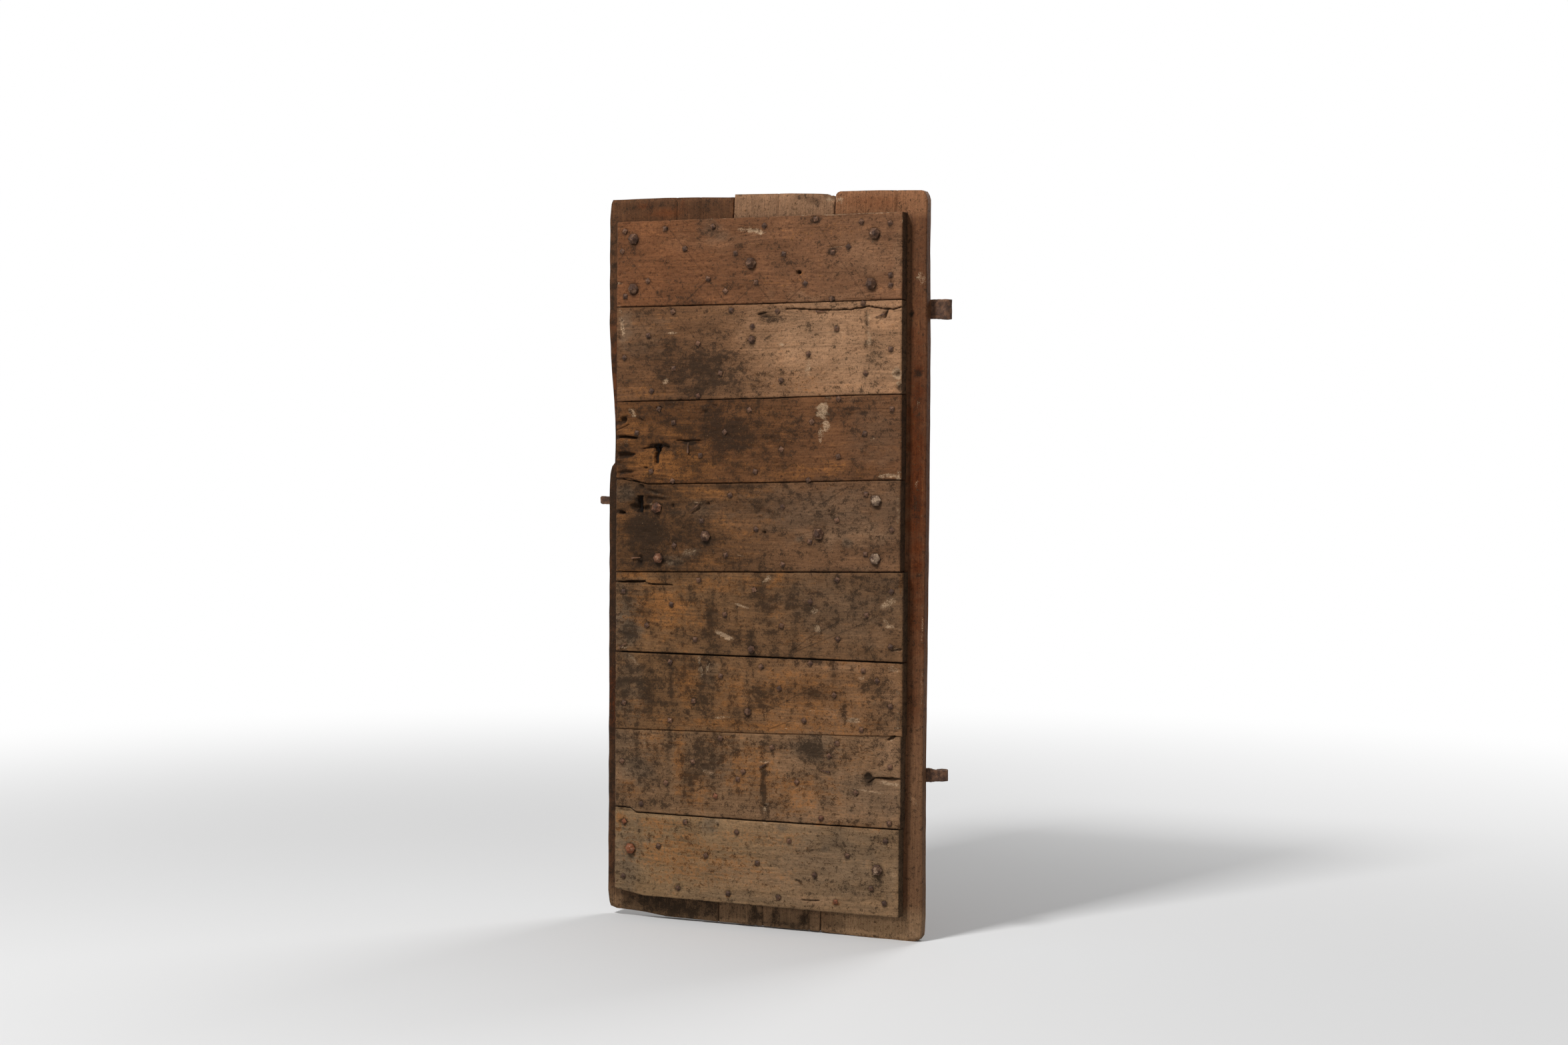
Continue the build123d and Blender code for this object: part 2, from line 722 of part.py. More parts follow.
# Staple: a bridge behind the bar, with two square legs driven into the wood
with BuildPart() as latch_staple:
    with BuildSketch(Plane.YZ.offset(staple_outer - axis_u)):
        with Locations((staple_rear - staple_thickness / 2,
                        (staple_floor + staple_roof) / 2 - lower_hinge_height)):
            Rectangle(staple_thickness, staple_roof - staple_floor + 2 * staple_thickness)
        for leg in staple_legs:
            with Locations(((back_face + staple_rear) / 2, leg - lower_hinge_height)):
                Rectangle(staple_rear - back_face, staple_thickness)
    extrude(amount=staple_width)
    with Locations(*staple_places):
        add(staple_hole)
save(latch_staple.part, "latch_staple")

# Lock case: folded iron box, open towards the wood, with lugs and a keyhole in its plate
with BuildPart() as lock_case:
    with BuildSketch(upright(back_face)):
        with Locations(case_middle):
            Rectangle(case_width, case_height)
    extrude(amount=-case_depth)
    with BuildSketch(upright(back_face)):
        with Locations(case_middle):
            Rectangle(case_width - 2 * case_wall, case_height - 2 * case_wall)
    extrude(amount=case_wall - case_depth, mode=Mode.SUBTRACT)
    with BuildSketch(upright(back_face)):
        with Locations(*lug_centres, side_lug):
            Rectangle(lug_width, lug_length)
        with Locations(case_middle):
            Rectangle(case_width, case_height, mode=Mode.SUBTRACT)
    extrude(amount=-case_wall)
    with BuildSketch(upright(back_face)):
        with Locations((case_left, bolt_middle)):
            Rectangle(bolt_mouth, bolt_height + 2 * bolt_play)
    extrude(amount=-(bolt_stand_off + bolt_thickness + bolt_play), mode=Mode.SUBTRACT)
    with BuildSketch(upright(case_rear)):
        key_outline()
    extrude(amount=case_wall, mode=Mode.SUBTRACT)
    cut_holes(lug_hole, lug_places)
    cut_holes(side_hole, [side_place])
save(lock_case.part, "lock_case")
save(placed((lug_nail, lug_places), (side_nail, [side_place])), "lock_nails")

# Bolt: a flat bar with a notch that the key's bit pushes in
with BuildPart() as lock_bolt:
    with BuildSketch(upright(bolt_rear)):
        with Locations(((case_left + bolt_right) / 2, bolt_middle)):
            Rectangle(bolt_length, bolt_height)
        with Locations((key_u, bolt_low + talon_depth / 2)):
            Rectangle(talon_width, talon_depth, mode=Mode.SUBTRACT)
    extrude(amount=bolt_thickness)
save(lock_bolt.part, "lock_bolt")

# Guide: a staple riveted inside the case plate, which the bolt's tail slides through
with BuildPart() as lock_guide:
    with BuildSketch(Plane.YZ.offset(guide_u - axis_u)):
        with Locations(((bolt_front - bolt_play - guide_thickness + plate_front) / 2,
                        bolt_middle - lower_hinge_height)):
            Rectangle(plate_front - bolt_front + bolt_play + guide_thickness,
                      bolt_height + 2 * bolt_play + 2 * guide_thickness)
        with Locations(((bolt_front - bolt_play + plate_front) / 2, bolt_middle - lower_hinge_height)):
            Rectangle(plate_front - bolt_front + bolt_play, bolt_height + 2 * bolt_play,
                      mode=Mode.SUBTRACT)
    extrude(amount=guide_width)
save(lock_guide.part, "lock_guide")

# Spring: a thin leaf, footed under the top wall of the case, that leans on the bolt
spring_top = case_top - case_wall
spring_right = guide_u - guide_thickness
spring_left = spring_right - spring_length
spring_tip = bolt_high + seat_play
with BuildPart() as lock_spring:
    with BuildSketch(upright(bolt_rear)):
        with BuildLine():
            bow_top = (spring_tip + spring_top) / 2 + spring_thickness
            foot = Line((spring_right, spring_top), (spring_right - spring_foot, spring_top))
            over = ThreePointArc(foot @ 1, ((spring_left + spring_right) / 2, bow_top),
                                 (spring_left, spring_tip + spring_thickness))
            tip = Line(over @ 1, (spring_left, spring_tip))
            under = ThreePointArc(
                tip @ 1, ((spring_left + spring_right) / 2, bow_top - spring_thickness),
                (spring_right - spring_foot, spring_top - spring_thickness))
            sole = Line(under @ 1, (spring_right, spring_top - spring_thickness))
            Line(sole @ 1, foot @ 0)
        make_face()
    extrude(amount=spring_width)
save(lock_spring.part, "lock_spring")
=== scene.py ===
"""Looks of an old plank door leaf: worn boards, hammered nails and rusty ironwork.

Spots on the leaf are given in millimetres: u across it from its left edge and z up from its
foot. Depth is millimetres into the wood from the face of a layer.
"""

import math

import bmesh
import bpy
import numpy as np
from mathutils import Matrix, Vector
from mathutils.bvhtree import BVHTree


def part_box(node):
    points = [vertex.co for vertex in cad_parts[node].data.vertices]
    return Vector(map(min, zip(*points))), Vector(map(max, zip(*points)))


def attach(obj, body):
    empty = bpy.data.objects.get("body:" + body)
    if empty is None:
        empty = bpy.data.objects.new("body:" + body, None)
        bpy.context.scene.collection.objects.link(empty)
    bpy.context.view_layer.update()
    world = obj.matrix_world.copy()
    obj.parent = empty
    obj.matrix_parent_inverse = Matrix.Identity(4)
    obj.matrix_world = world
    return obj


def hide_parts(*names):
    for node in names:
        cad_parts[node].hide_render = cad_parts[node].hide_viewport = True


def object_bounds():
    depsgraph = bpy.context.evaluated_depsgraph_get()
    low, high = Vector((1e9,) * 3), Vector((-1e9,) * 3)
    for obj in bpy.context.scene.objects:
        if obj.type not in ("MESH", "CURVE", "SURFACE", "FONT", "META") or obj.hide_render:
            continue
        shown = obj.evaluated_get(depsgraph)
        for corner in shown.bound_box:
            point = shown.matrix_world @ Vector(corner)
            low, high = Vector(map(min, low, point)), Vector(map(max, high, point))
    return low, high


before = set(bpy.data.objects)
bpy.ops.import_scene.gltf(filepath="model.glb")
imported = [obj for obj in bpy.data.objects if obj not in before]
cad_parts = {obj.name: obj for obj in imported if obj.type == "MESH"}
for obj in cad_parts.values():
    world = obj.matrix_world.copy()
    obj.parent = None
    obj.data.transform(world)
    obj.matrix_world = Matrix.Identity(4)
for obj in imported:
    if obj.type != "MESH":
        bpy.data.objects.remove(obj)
cad_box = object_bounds()

MM = 0.001
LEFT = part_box("back_board_left")[0].x
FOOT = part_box("back_board_right")[0].z
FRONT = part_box("front_board_1")[0].y
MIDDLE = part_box("front_board_1")[1].y
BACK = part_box("back_board_left")[1].y
BACK_THICKNESS = (BACK - MIDDLE) / MM

# Points closer than this are one
MERGE = 0.02 * MM

FRONT_ROWS = 8
BACK_SIDES = ["left", "middle", "right"]

# Mesh spacing in mm, across the leaf and up it, and steps through a board's thickness
FRONT_STEPS = (2.7, 2.0)
BACK_STEPS = (3.2, 9.5)
FRONT_WALL_STEPS = 12
BACK_WALL_STEPS = 8

# How far in mm the holes' cutters reach past a layer
CUT_PAST = 5

# Deepest wear in mm into the front boards
DEEPEST = 18.0


def srgb(red, green, blue):
    """Colour as the shaders take it, from the usual 0 to 255."""
    return tuple(((c / 255 + 0.055) / 1.055) ** 2.4 for c in (red, green, blue))


# Wood tones
TAN = srgb(168, 130, 98)
BROWN = srgb(104, 76, 54)
ORANGE = srgb(150, 97, 50)
GREY = srgb(112, 97, 80)
PALE = srgb(168, 141, 112)
BLACK = srgb(33, 24, 16)
RED_ORANGE = srgb(118, 56, 18)
WORN_FOOT = srgb(132, 104, 76)
PAINTED_LIGHT_FOOT = srgb(176, 140, 104)
DULL_STRIP = srgb(116, 88, 64)
SHADED_RED_STRIP = srgb(58, 26, 8)

# Iron tones
DARK_SCALE = srgb(60, 41, 31)
BROWN_SCALE = srgb(104, 73, 53)
RUBBED_IRON = srgb(142, 106, 80)
OLD_RUST = srgb(112, 64, 38)
FRESH_RUST = srgb(142, 78, 44)
PALE_SCALE = srgb(186, 162, 136)
PITTED = srgb(48, 36, 30)

# Tone of each front board at its left and its right end, and how grimy it is, from the top
# The tones hold painted light too: board 2 is lighter towards its right end, where a pool of light
# is painted, and the upper boards are darker and the lower ones lighter to even out the key lamp's
# fall-off.
FRONT_TONES = [
    ((114, 73, 46), (124, 86, 60), 0.20),
    ((110, 76, 50), (158, 118, 86), 0.24),
    ((108, 70, 40), (114, 76, 49), 0.36),
    ((102, 70, 43), (120, 86, 60), 0.36),
    ((120, 87, 57), (118, 86, 59), 0.36),
    ((124, 90, 59), (136, 99, 68), 0.38),
    ((132, 100, 71), (142, 108, 78), 0.34),
    ((142, 113, 81), (142, 112, 82), 0.20),
]
BACK_TONES = {"left": (94, 62, 40), "middle": (146, 110, 82), "right": (140, 96, 66)}

# Front boards with stains that ran down
DRIPPED = (5, 6, 7)

# Marks on the front boards: u, z, half width, half height, amount, and any slope in degrees
STAINS = [
    (250, 1325, 210, 120, 0.50), (300, 1180, 230, 110, 0.34), (140, 950, 190, 130, 0.54),
    (70, 730, 60, 110, 0.34), (110, 1040, 90, 40, 0.4), (104, 1008, 22, 16, 0.95),
    (330, 740, 250, 120, 0.15), (200, 560, 280, 100, 0.20), (250, 400, 280, 120, 0.18),
    (290, 1668, 60, 26, 0.35, -30), (553, 1682, 17, 12, 0.9, 20), (600, 1611, 22, 8, 0.8, 15),
    (500, 1588, 130, 16, 0.25), (735, 1640, 60, 16, 0.25), (738, 1540, 34, 14, 0.3),
    (62, 1668, 22, 12, 0.35), (84, 1630, 24, 18, 0.35), (84, 1518, 24, 12, 0.35),
    (170, 1676, 20, 8, 0.5), (700, 1500, 60, 6, 0.3), (560, 1690, 160, 8, 0.2),
    (270, 1318, 96, 74, 0.98), (200, 1350, 90, 60, 0.4), (330, 1290, 90, 34, 0.5),
    (187, 1474, 40, 14, 0.5), (440, 1458, 34, 18, 0.85, -8), (110, 1310, 80, 60, 0.22),
    (684, 1450, 9, 40, 0.5), (730, 1462, 12, 18, 0.4, 20), (605, 1400, 14, 90, 0.22),
    (700, 1370, 30, 90, 0.18), (90, 1470, 60, 16, 0.35), (420, 1290, 120, 20, 0.3),
    (330, 1170, 90, 76, 0.9), (280, 1232, 110, 40, 0.5), (400, 1150, 70, 50, 0.35),
    (130, 1186, 12, 30, 0.5), (62, 1234, 60, 34, 0.3), (160, 1225, 90, 30, 0.25),
    (572, 1225, 40, 46, 0.4), (140, 1078, 50, 14, 0.5), (50, 1105, 24, 30, 0.4),
    (520, 1200, 60, 60, 0.25), (60, 1150, 30, 16, 0.35), (330, 1100, 60, 14, 0.2),
    (680, 1130, 10, 70, 0.2), (640, 1240, 60, 20, 0.2), (80, 1032, 56, 34, 0.5),
    (115, 950, 100, 60, 1.0), (70, 984, 36, 22, 0.5), (215, 935, 110, 60, 0.45),
    (330, 1056, 90, 12, 0.45), (60, 872, 60, 20, 0.35), (104, 876, 16, 26, 0.8),
    (186, 868, 34, 14, 0.6), (140, 1000, 70, 40, 0.5), (424, 876, 18, 44, 0.45),
    (262, 1006, 60, 30, 0.45), (482, 1060, 24, 12, 0.5, -50), (600, 866, 150, 10, 0.25),
    (280, 920, 24, 14, 0.7, -20), (400, 1000, 70, 30, 0.2), (330, 885, 70, 22, 0.3),
    (440, 950, 40, 30, 0.2), (470, 1030, 60, 20, 0.25), (290, 740, 16, 110, 0.5),
    (285, 704, 44, 30, 0.35), (398, 700, 16, 70, 0.6), (424, 790, 24, 60, 0.55),
    (440, 745, 30, 90, 0.35), (200, 700, 90, 40, 0.25), (150, 722, 24, 8, 0.6, -5),
    (240, 800, 60, 50, 0.25), (59, 799, 12, 8, 0.9), (214, 780, 30, 20, 0.35),
    (690, 842, 110, 20, 0.25), (520, 780, 90, 60, 0.28), (360, 690, 50, 26, 0.25),
    (560, 776, 34, 10, 0.35, -20), (640, 760, 90, 50, 0.15), (80, 600, 60, 60, 0.45),
    (122, 565, 40, 90, 0.6), (186, 590, 14, 80, 0.5), (284, 600, 34, 60, 0.55),
    (265, 540, 50, 50, 0.7), (430, 560, 60, 44, 0.7), (384, 574, 14, 40, 0.5),
    (60, 528, 24, 9, 0.7), (562, 648, 40, 8, 0.5), (611, 622, 12, 40, 0.5),
    (560, 575, 110, 34, 0.35), (636, 532, 12, 30, 0.55), (330, 520, 60, 24, 0.3),
    (700, 590, 60, 30, 0.25), (130, 640, 140, 14, 0.4), (95, 420, 14, 90, 0.4),
    (182, 410, 12, 110, 0.5), (270, 415, 54, 80, 0.6), (240, 350, 22, 100, 0.5),
    (302, 400, 34, 70, 0.5), (350, 430, 44, 40, 0.45), (431, 354, 11, 80, 0.85),
    (430, 440, 16, 50, 0.5), (555, 445, 54, 60, 0.45), (90, 380, 60, 50, 0.3),
    (690, 276, 100, 10, 0.4), (540, 384, 60, 20, 0.35), (440, 290, 10, 26, 0.5),
    (130, 342, 50, 50, 0.3), (700, 380, 20, 16, 0.7), (390, 376, 30, 9, 0.6),
    (150, 290, 110, 16, 0.25), (604, 440, 14, 60, 0.25), (722, 150, 20, 30, 0.55, -20),
    (660, 214, 90, 24, 0.3), (690, 140, 70, 50, 0.25), (185, 184, 26, 5, 0.7, -3),
    (522, 128, 14, 4, 0.8, -20), (740, 240, 60, 18, 0.35), (60, 238, 16, 12, 0.6),
    (78, 172, 20, 14, 0.4), (540, 200, 90, 12, 0.25, 10), (300, 240, 30, 24, 0.35),
    (480, 250, 20, 16, 0.3), (60, 140, 30, 90, 0.2), (104, 150, 8, 110, 0.25),
    (400, 68, 300, 8, 0.25), (580, 110, 60, 30, 0.12),
]
WARMS = [
    (180, 1115, 170, 60, 0.95), (200, 1180, 80, 50, 0.6), (520, 1096, 240, 34, 0.5),
    (80, 1180, 60, 60, 0.5), (430, 1190, 110, 70, 0.35), (130, 1290, 120, 40, 0.35),
    (260, 1044, 170, 24, 0.7), (58, 960, 30, 50, 0.6), (340, 950, 90, 60, 0.45),
    (370, 1040, 120, 30, 0.45), (430, 1000, 70, 50, 0.3), (300, 880, 130, 30, 0.5),
    (160, 765, 130, 80, 0.85), (330, 826, 260, 34, 0.55), (90, 840, 80, 14, 0.85),
    (250, 735, 80, 60, 0.55), (468, 846, 26, 20, 0.9, 30), (370, 720, 60, 50, 0.4),
    (776, 846, 9, 30, 0.9), (520, 700, 80, 40, 0.35), (450, 770, 60, 60, 0.4),
    (225, 590, 44, 80, 0.9), (350, 565, 80, 70, 0.7), (520, 560, 240, 90, 0.65),
    (110, 510, 80, 40, 0.5), (400, 490, 300, 20, 0.85), (600, 500, 180, 40, 0.55),
    (211, 405, 22, 110, 0.95), (140, 424, 60, 60, 0.55), (250, 330, 70, 80, 0.6),
    (400, 385, 120, 80, 0.75), (510, 335, 150, 70, 0.65), (78, 318, 50, 40, 0.55),
    (660, 268, 140, 10, 0.6), (650, 430, 100, 60, 0.4), (320, 440, 90, 50, 0.5),
    (200, 165, 170, 80, 0.7), (320, 150, 200, 60, 0.5), (56, 240, 30, 20, 0.9),
    (48, 216, 16, 12, 0.8), (170, 240, 120, 16, 0.6), (618, 80, 18, 8, 0.95),
    (420, 220, 160, 30, 0.45), (345, 78, 14, 9, 0.7), (80, 173, 24, 14, 0.9),
    (520, 1560, 12, 10, 0.9), (420, 1540, 200, 40, 0.15), (560, 1660, 120, 30, 0.2),
    (500, 1300, 130, 40, 0.3), (150, 1440, 90, 60, 0.2), (640, 650, 100, 14, 0.4),
]
GREYS = [
    (66, 730, 50, 90, 0.85), (640, 770, 200, 90, 0.35), (70, 566, 50, 110, 0.6),
    (60, 430, 50, 60, 0.4), (90, 372, 60, 50, 0.6), (560, 440, 70, 50, 0.6),
    (700, 340, 130, 70, 0.45), (66, 150, 54, 110, 0.8), (610, 180, 190, 100, 0.5),
    (290, 240, 28, 22, 0.9), (480, 248, 20, 14, 0.9), (589, 205, 20, 14, 0.9),
    (688, 180, 12, 12, 0.9), (127, 195, 20, 18, 0.7), (400, 76, 240, 18, 0.4),
    (520, 935, 18, 10, 0.8), (560, 1000, 240, 70, 0.4), (190, 876, 36, 14, 0.7),
    (240, 894, 34, 14, 0.7, 20), (60, 1440, 24, 60, 0.6), (720, 1190, 90, 90, 0.3),
    (66, 1040, 40, 26, 0.7), (640, 930, 16, 14, 0.7), (730, 1000, 50, 90, 0.3),
    (110, 1420, 90, 60, 0.3), (290, 1665, 56, 26, 0.4, -30), (330, 380, 60, 50, 0.35),
    (262, 1000, 60, 26, 0.5), (290, 615, 30, 40, 0.5),
]
# Patches mixed towards TAN: paler wood, and on board 2 towards its right end a painted pool of
# light.
PALE_AND_LIT_PATCHES = [
    (560, 1410, 200, 100, 0.8), (660, 1350, 140, 80, 0.7), (430, 1400, 90, 70, 0.4),
    (700, 1460, 90, 34, 0.5), (660, 950, 130, 34, 0.5), (620, 1010, 80, 40, 0.2),
    (300, 1640, 140, 30, 0.15), (680, 1600, 90, 60, 0.2), (760, 1580, 20, 90, 0.3),
    (748, 440, 40, 44, 0.6), (480, 280, 140, 14, 0.35), (560, 84, 80, 12, 0.5),
    (400, 130, 200, 50, 0.3), (620, 640, 130, 12, 0.4), (745, 540, 34, 100, 0.3),
    (520, 170, 130, 50, 0.2), (764, 330, 16, 60, 0.3), (620, 520, 60, 30, 0.3),
]
PALES = [
    (392, 1664, 38, 8, 1.0, -8), (40, 1546, 14, 3, 1.0), (618, 1620, 28, 2, 0.7, 4),
    (762, 1326, 12, 13, 1.0, 30), (768, 1290, 9, 14, 0.9), (474, 1394, 13, 6, 0.9),
    (690, 1430, 6, 50, 0.6), (51, 1450, 8, 44, 0.75, 8), (540, 1345, 9, 30, 0.6),
    (332, 1428, 18, 4, 0.4), (183, 1424, 13, 3, 0.8), (168, 1307, 8, 8, 0.8, 50),
    (580, 1240, 17, 26, 1.0), (586, 1204, 10, 20, 0.85), (572, 1178, 5, 22, 0.65),
    (700, 1170, 14, 3, 0.4, 30), (742, 1088, 36, 5, 0.8, 3), (768, 1088, 7, 14, 0.8),
    (80, 1232, 6, 15, 0.8, 40), (60, 1160, 24, 8, 0.45), (766, 1010, 6, 34, 0.5),
    (232, 898, 22, 10, 0.55, 20), (366, 894, 12, 2, 0.9, -10), (258, 1018, 14, 2, 0.8, -5),
    (432, 951, 4, 4, 0.8), (182, 872, 14, 7, 0.65), (528, 1024, 22, 2, 0.4, 20),
    (438, 838, 16, 9, 0.6, 30), (738, 790, 20, 12, 0.7, 20), (740, 748, 22, 9, 0.8, -30),
    (562, 768, 16, 9, 0.7, 25), (567, 727, 7, 8, 0.9), (326, 702, 24, 7, 0.95, -20),
    (372, 774, 24, 3, 0.75, -15), (768, 684, 15, 5, 0.85, 5), (50, 662, 18, 5, 0.85),
    (86, 632, 16, 6, 0.75, -40), (264, 620, 5, 26, 0.85, 8), (284, 630, 4, 20, 0.85, -10),
    (662, 516, 22, 7, 0.85, 8), (756, 636, 28, 8, 0.7), (680, 614, 18, 7, 0.6, 20),
    (489, 487, 8, 2, 0.9), (556, 532, 10, 2, 0.7), (612, 526, 9, 2, 0.7),
    (326, 506, 24, 4, 0.55, 5), (712, 560, 8, 8, 0.3), (768, 560, 7, 60, 0.35),
    (432, 404, 16, 3, 0.7, 5), (596, 391, 13, 2, 0.9), (752, 372, 26, 5, 0.85, -8),
    (690, 352, 44, 3, 0.65, -6), (756, 474, 9, 6, 0.85, 50), (438, 302, 10, 6, 0.8, 10),
    (434, 288, 6, 14, 0.6), (436, 257, 8, 4, 0.75), (287, 372, 16, 5, 0.6, -15),
    (138, 320, 12, 10, 0.5, 30), (117, 431, 8, 6, 0.6, 60), (530, 352, 15, 2, 0.6, -15),
    (560, 84, 24, 3, 0.85, 3), (740, 91, 5, 8, 0.65, 20), (60, 104, 5, 5, 0.8),
    (310, 246, 5, 12, 0.75), (80, 270, 22, 5, 0.6), (52, 130, 10, 40, 0.35),
    (762, 160, 12, 60, 0.35), (700, 1590, 3, 50, 0.3), (600, 1420, 70, 3, 0.3),
    # The two long thin lines at z 1696 lie on the front layer's top arris: paler worn bevel, and in
    # part a painted highlight where it catches the light from above.
    (300, 1696, 250, 3, 0.5), (640, 1696, 130, 3, 0.7), (150, 1036, 26, 4, 0.5, -14),
    (132, 1014, 10, 4, 0.45, -20),
]

# Hollows worn or struck into the front: the same figures, with a depth in mm for the amount
HOLLOWS = [
    (290, 1665, 46, 22, 2.4, -30), (392, 1664, 38, 8, 2.2, -8), (618, 1619, 30, 5, 2.8, 4),
    (515, 1562, 8, 6, 15.0), (40, 1546, 14, 4, 3.0), (430, 1462, 22, 8, 5.0, -10),
    (46, 1440, 8, 46, 2.4, 6), (762, 1324, 12, 12, 5.0, 30), (770, 1290, 9, 14, 6.0),
    (690, 1430, 7, 46, 1.8), (332, 1355, 22, 6, 1.6), (370, 1411, 9, 7, 1.6),
    (474, 1394, 14, 6, 1.6), (166, 1308, 8, 7, 3.5, 50), (180, 1425, 14, 4, 1.6, -20),
    (540, 1340, 7, 26, 1.4), (410, 1350, 10, 6, 1.6), (620, 1350, 10, 8, 1.2),
    (460, 1355, 14, 4, 1.4), (380, 1330, 12, 5, 1.6), (734, 1464, 3, 16, 4.5, -20),
    (560, 1470, 10, 5, 3.0, 20), (588, 1470, 5, 9, 3.5, 20), (58, 1130, 34, 9, 14.0, 4),
    (60, 1174, 36, 4, 9.0, -3), (60, 1150, 32, 14, 3.0), (170, 1154, 16, 8, 6.0, -20),
    (134, 1152, 12, 7, 6.0, 15), (62, 1088, 30, 5, 6.0, 6), (232, 1160, 36, 6, 5.5),
    (75, 1232, 5, 14, 4.5, 40), (58, 1216, 8, 7, 11.0), (104, 1216, 12, 4, 5.0, -25),
    (150, 1244, 10, 4, 5.0), (275, 1236, 8, 5, 4.0), (300, 1250, 10, 3, 3.0, -30),
    (46, 1205, 12, 10, 5.0), (44, 1110, 12, 8, 4.0), (118, 1100, 9, 4, 5.0),
    (134, 1092, 5, 3, 4.0), (440, 1240, 14, 3, 1.8, 30), (60, 1080, 30, 5, 4.0, -5),
    (466, 1104, 6, 4, 2.5), (200, 1130, 7, 6, 1.5), (580, 1235, 20, 30, 1.2),
    (742, 1088, 34, 5, 1.5, 3), (124, 1022, 12, 12, 6.0, -10), (84, 1006, 16, 9, 12.0, -12),
    (118, 1002, 10, 8, 9.0, 20), (140, 1042, 36, 6, 4.5, -14), (150, 1026, 26, 5, 4.0, -6),
    (46, 992, 18, 5, 9.0, -10), (190, 1009, 4, 5, 5.0), (283, 1015, 5, 5, 5.0),
    (430, 951, 6, 4, 7.0), (106, 1055, 12, 7, 7.0, -20), (186, 872, 32, 8, 4.0, -8),
    (104, 872, 6, 16, 6.0), (240, 900, 26, 9, 2.0, 20), (484, 1054, 6, 14, 2.4, 45),
    (600, 993, 10, 3, 4.0, -20), (594, 1003, 3, 3, 6.0), (640, 930, 8, 8, 1.6),
    (96, 1006, 12, 22, 6.0), (250, 1000, 22, 6, 3.0, 35), (400, 1010, 6, 6, 1.5),
    (80, 823, 42, 3, 9.0, 2), (152, 819, 38, 2, 5.0), (440, 838, 20, 9, 2.8, 30),
    (326, 702, 26, 9, 3.0, -18), (738, 790, 18, 10, 1.6), (740, 748, 18, 8, 1.8, -30),
    (562, 768, 14, 8, 1.6, 25), (567, 727, 7, 8, 2.0), (768, 684, 14, 4, 4.0, 5),
    (50, 662, 16, 5, 2.5), (374, 774, 20, 3, 1.6, -15), (86, 636, 16, 6, 3.0, -40),
    (276, 628, 24, 32, 2.2), (264, 618, 5, 26, 2.5, 8), (284, 630, 4, 20, 2.5, -10),
    (662, 514, 24, 7, 3.2, 8), (757, 637, 26, 8, 3.5), (642, 540, 8, 20, 2.5, -10),
    (489, 487, 8, 3, 2.5), (424, 562, 30, 18, 1.4), (696, 386, 12, 10, 7.0, 20),
    (745, 382, 36, 3, 7.0, -3), (754, 478, 14, 5, 9.0, 20), (436, 301, 9, 5, 4.5),
    (434, 350, 7, 40, 1.8), (432, 406, 16, 5, 2.4, 5), (298, 374, 18, 5, 2.0),
    (138, 320, 14, 12, 1.8, 20), (590, 406, 6, 4, 2.5), (517, 360, 14, 12, 2.0),
    (300, 240, 22, 18, 1.6), (312, 246, 4, 12, 3.5), (480, 250, 12, 10, 1.4),
    (554, 83, 24, 3, 3.5, 3), (740, 92, 6, 8, 2.5, 20), (176, 184, 20, 4, 2.0, -3),
    (522, 127, 12, 3, 2.0, -20), (345, 86, 14, 10, 2.0, -40), (208, 90, 14, 8, 1.8, 20),
    (470, 86, 14, 8, 1.8, -30), (80, 173, 18, 12, 2.0), (564, 146, 12, 8, 1.8, -20),
    (126, 194, 18, 10, 1.4, 30), (60, 266, 26, 4, 3.0),
]

# Shrinkage cracks and scribed lines in the front: points, half width and depth in mm
CRACKS = [
    ([(482, 1478), (600, 1472), (650, 1474), (690, 1480), (710, 1476), (750, 1472), (778, 1480)],
     1.4, 9.0),
    ([(575, 1494), (640, 1498), (700, 1496)], 1.0, 3.0),
    ([(410, 1466), (430, 1470), (452, 1470)], 1.6, 4.0),
    ([(37, 1171), (60, 1176), (90, 1172)], 1.8, 7.0),
    ([(37, 1190), (52, 1196), (70, 1204)], 1.4, 4.0),
    ([(110, 1146), (136, 1150)], 1.4, 6.0),
    ([(160, 1154), (176, 1150)], 1.4, 6.0),
    ([(200, 1167), (262, 1166)], 1.6, 7.0),
    ([(37, 1071), (70, 1074), (100, 1066)], 1.6, 5.0),
    ([(37, 993), (58, 991)], 1.8, 8.0),
    ([(37, 822), (115, 825)], 1.8, 10.0),
    ([(118, 821), (150, 817), (190, 818)], 1.2, 5.0),
    ([(700, 372), (714, 384), (778, 385)], 1.6, 7.0),
    ([(532, 84), (552, 82), (576, 85)], 1.2, 3.0),
    ([(640, 178), (775, 174)], 1.0, 1.2),
    ([(300, 1386), (560, 1384)], 0.8, 0.8),
]
SCRATCHES = [
    [(52, 1623), (120, 1550), (190, 1476), (255, 1400)],
    [(178, 1672), (219, 1625), (281, 1550), (341, 1478)],
    [(430, 1674), (476, 1606), (531, 1536)],
    [(557, 1680), (600, 1615), (640, 1560), (684, 1498)],
    [(405, 1541), (461, 1472)],
    [(341, 1484), (405, 1541)],
    [(352, 1611), (380, 1590)],
    [(531, 1536), (480, 1490)],
    [(280, 1550), (215, 1494)],
    [(61, 1514), (123, 1419)],
    [(480, 655), (540, 700), (630, 750)],
    [(470, 652), (700, 750)],
    [(500, 506), (440, 480)],
    [(430, 520), (560, 590)],
    [(560, 1010), (640, 1060)],
    [(340, 1060), (420, 1000)],
]

# Knots that the grain bends round: u, z and size
KNOTS = [
    (290, 1665, 40), (432, 1460, 34), (298, 238, 26), (480, 248, 16), (589, 205, 16),
    (688, 180, 12), (700, 380, 24), (600, 1560, 30), (180, 1360, 30), (660, 1000, 30),
]

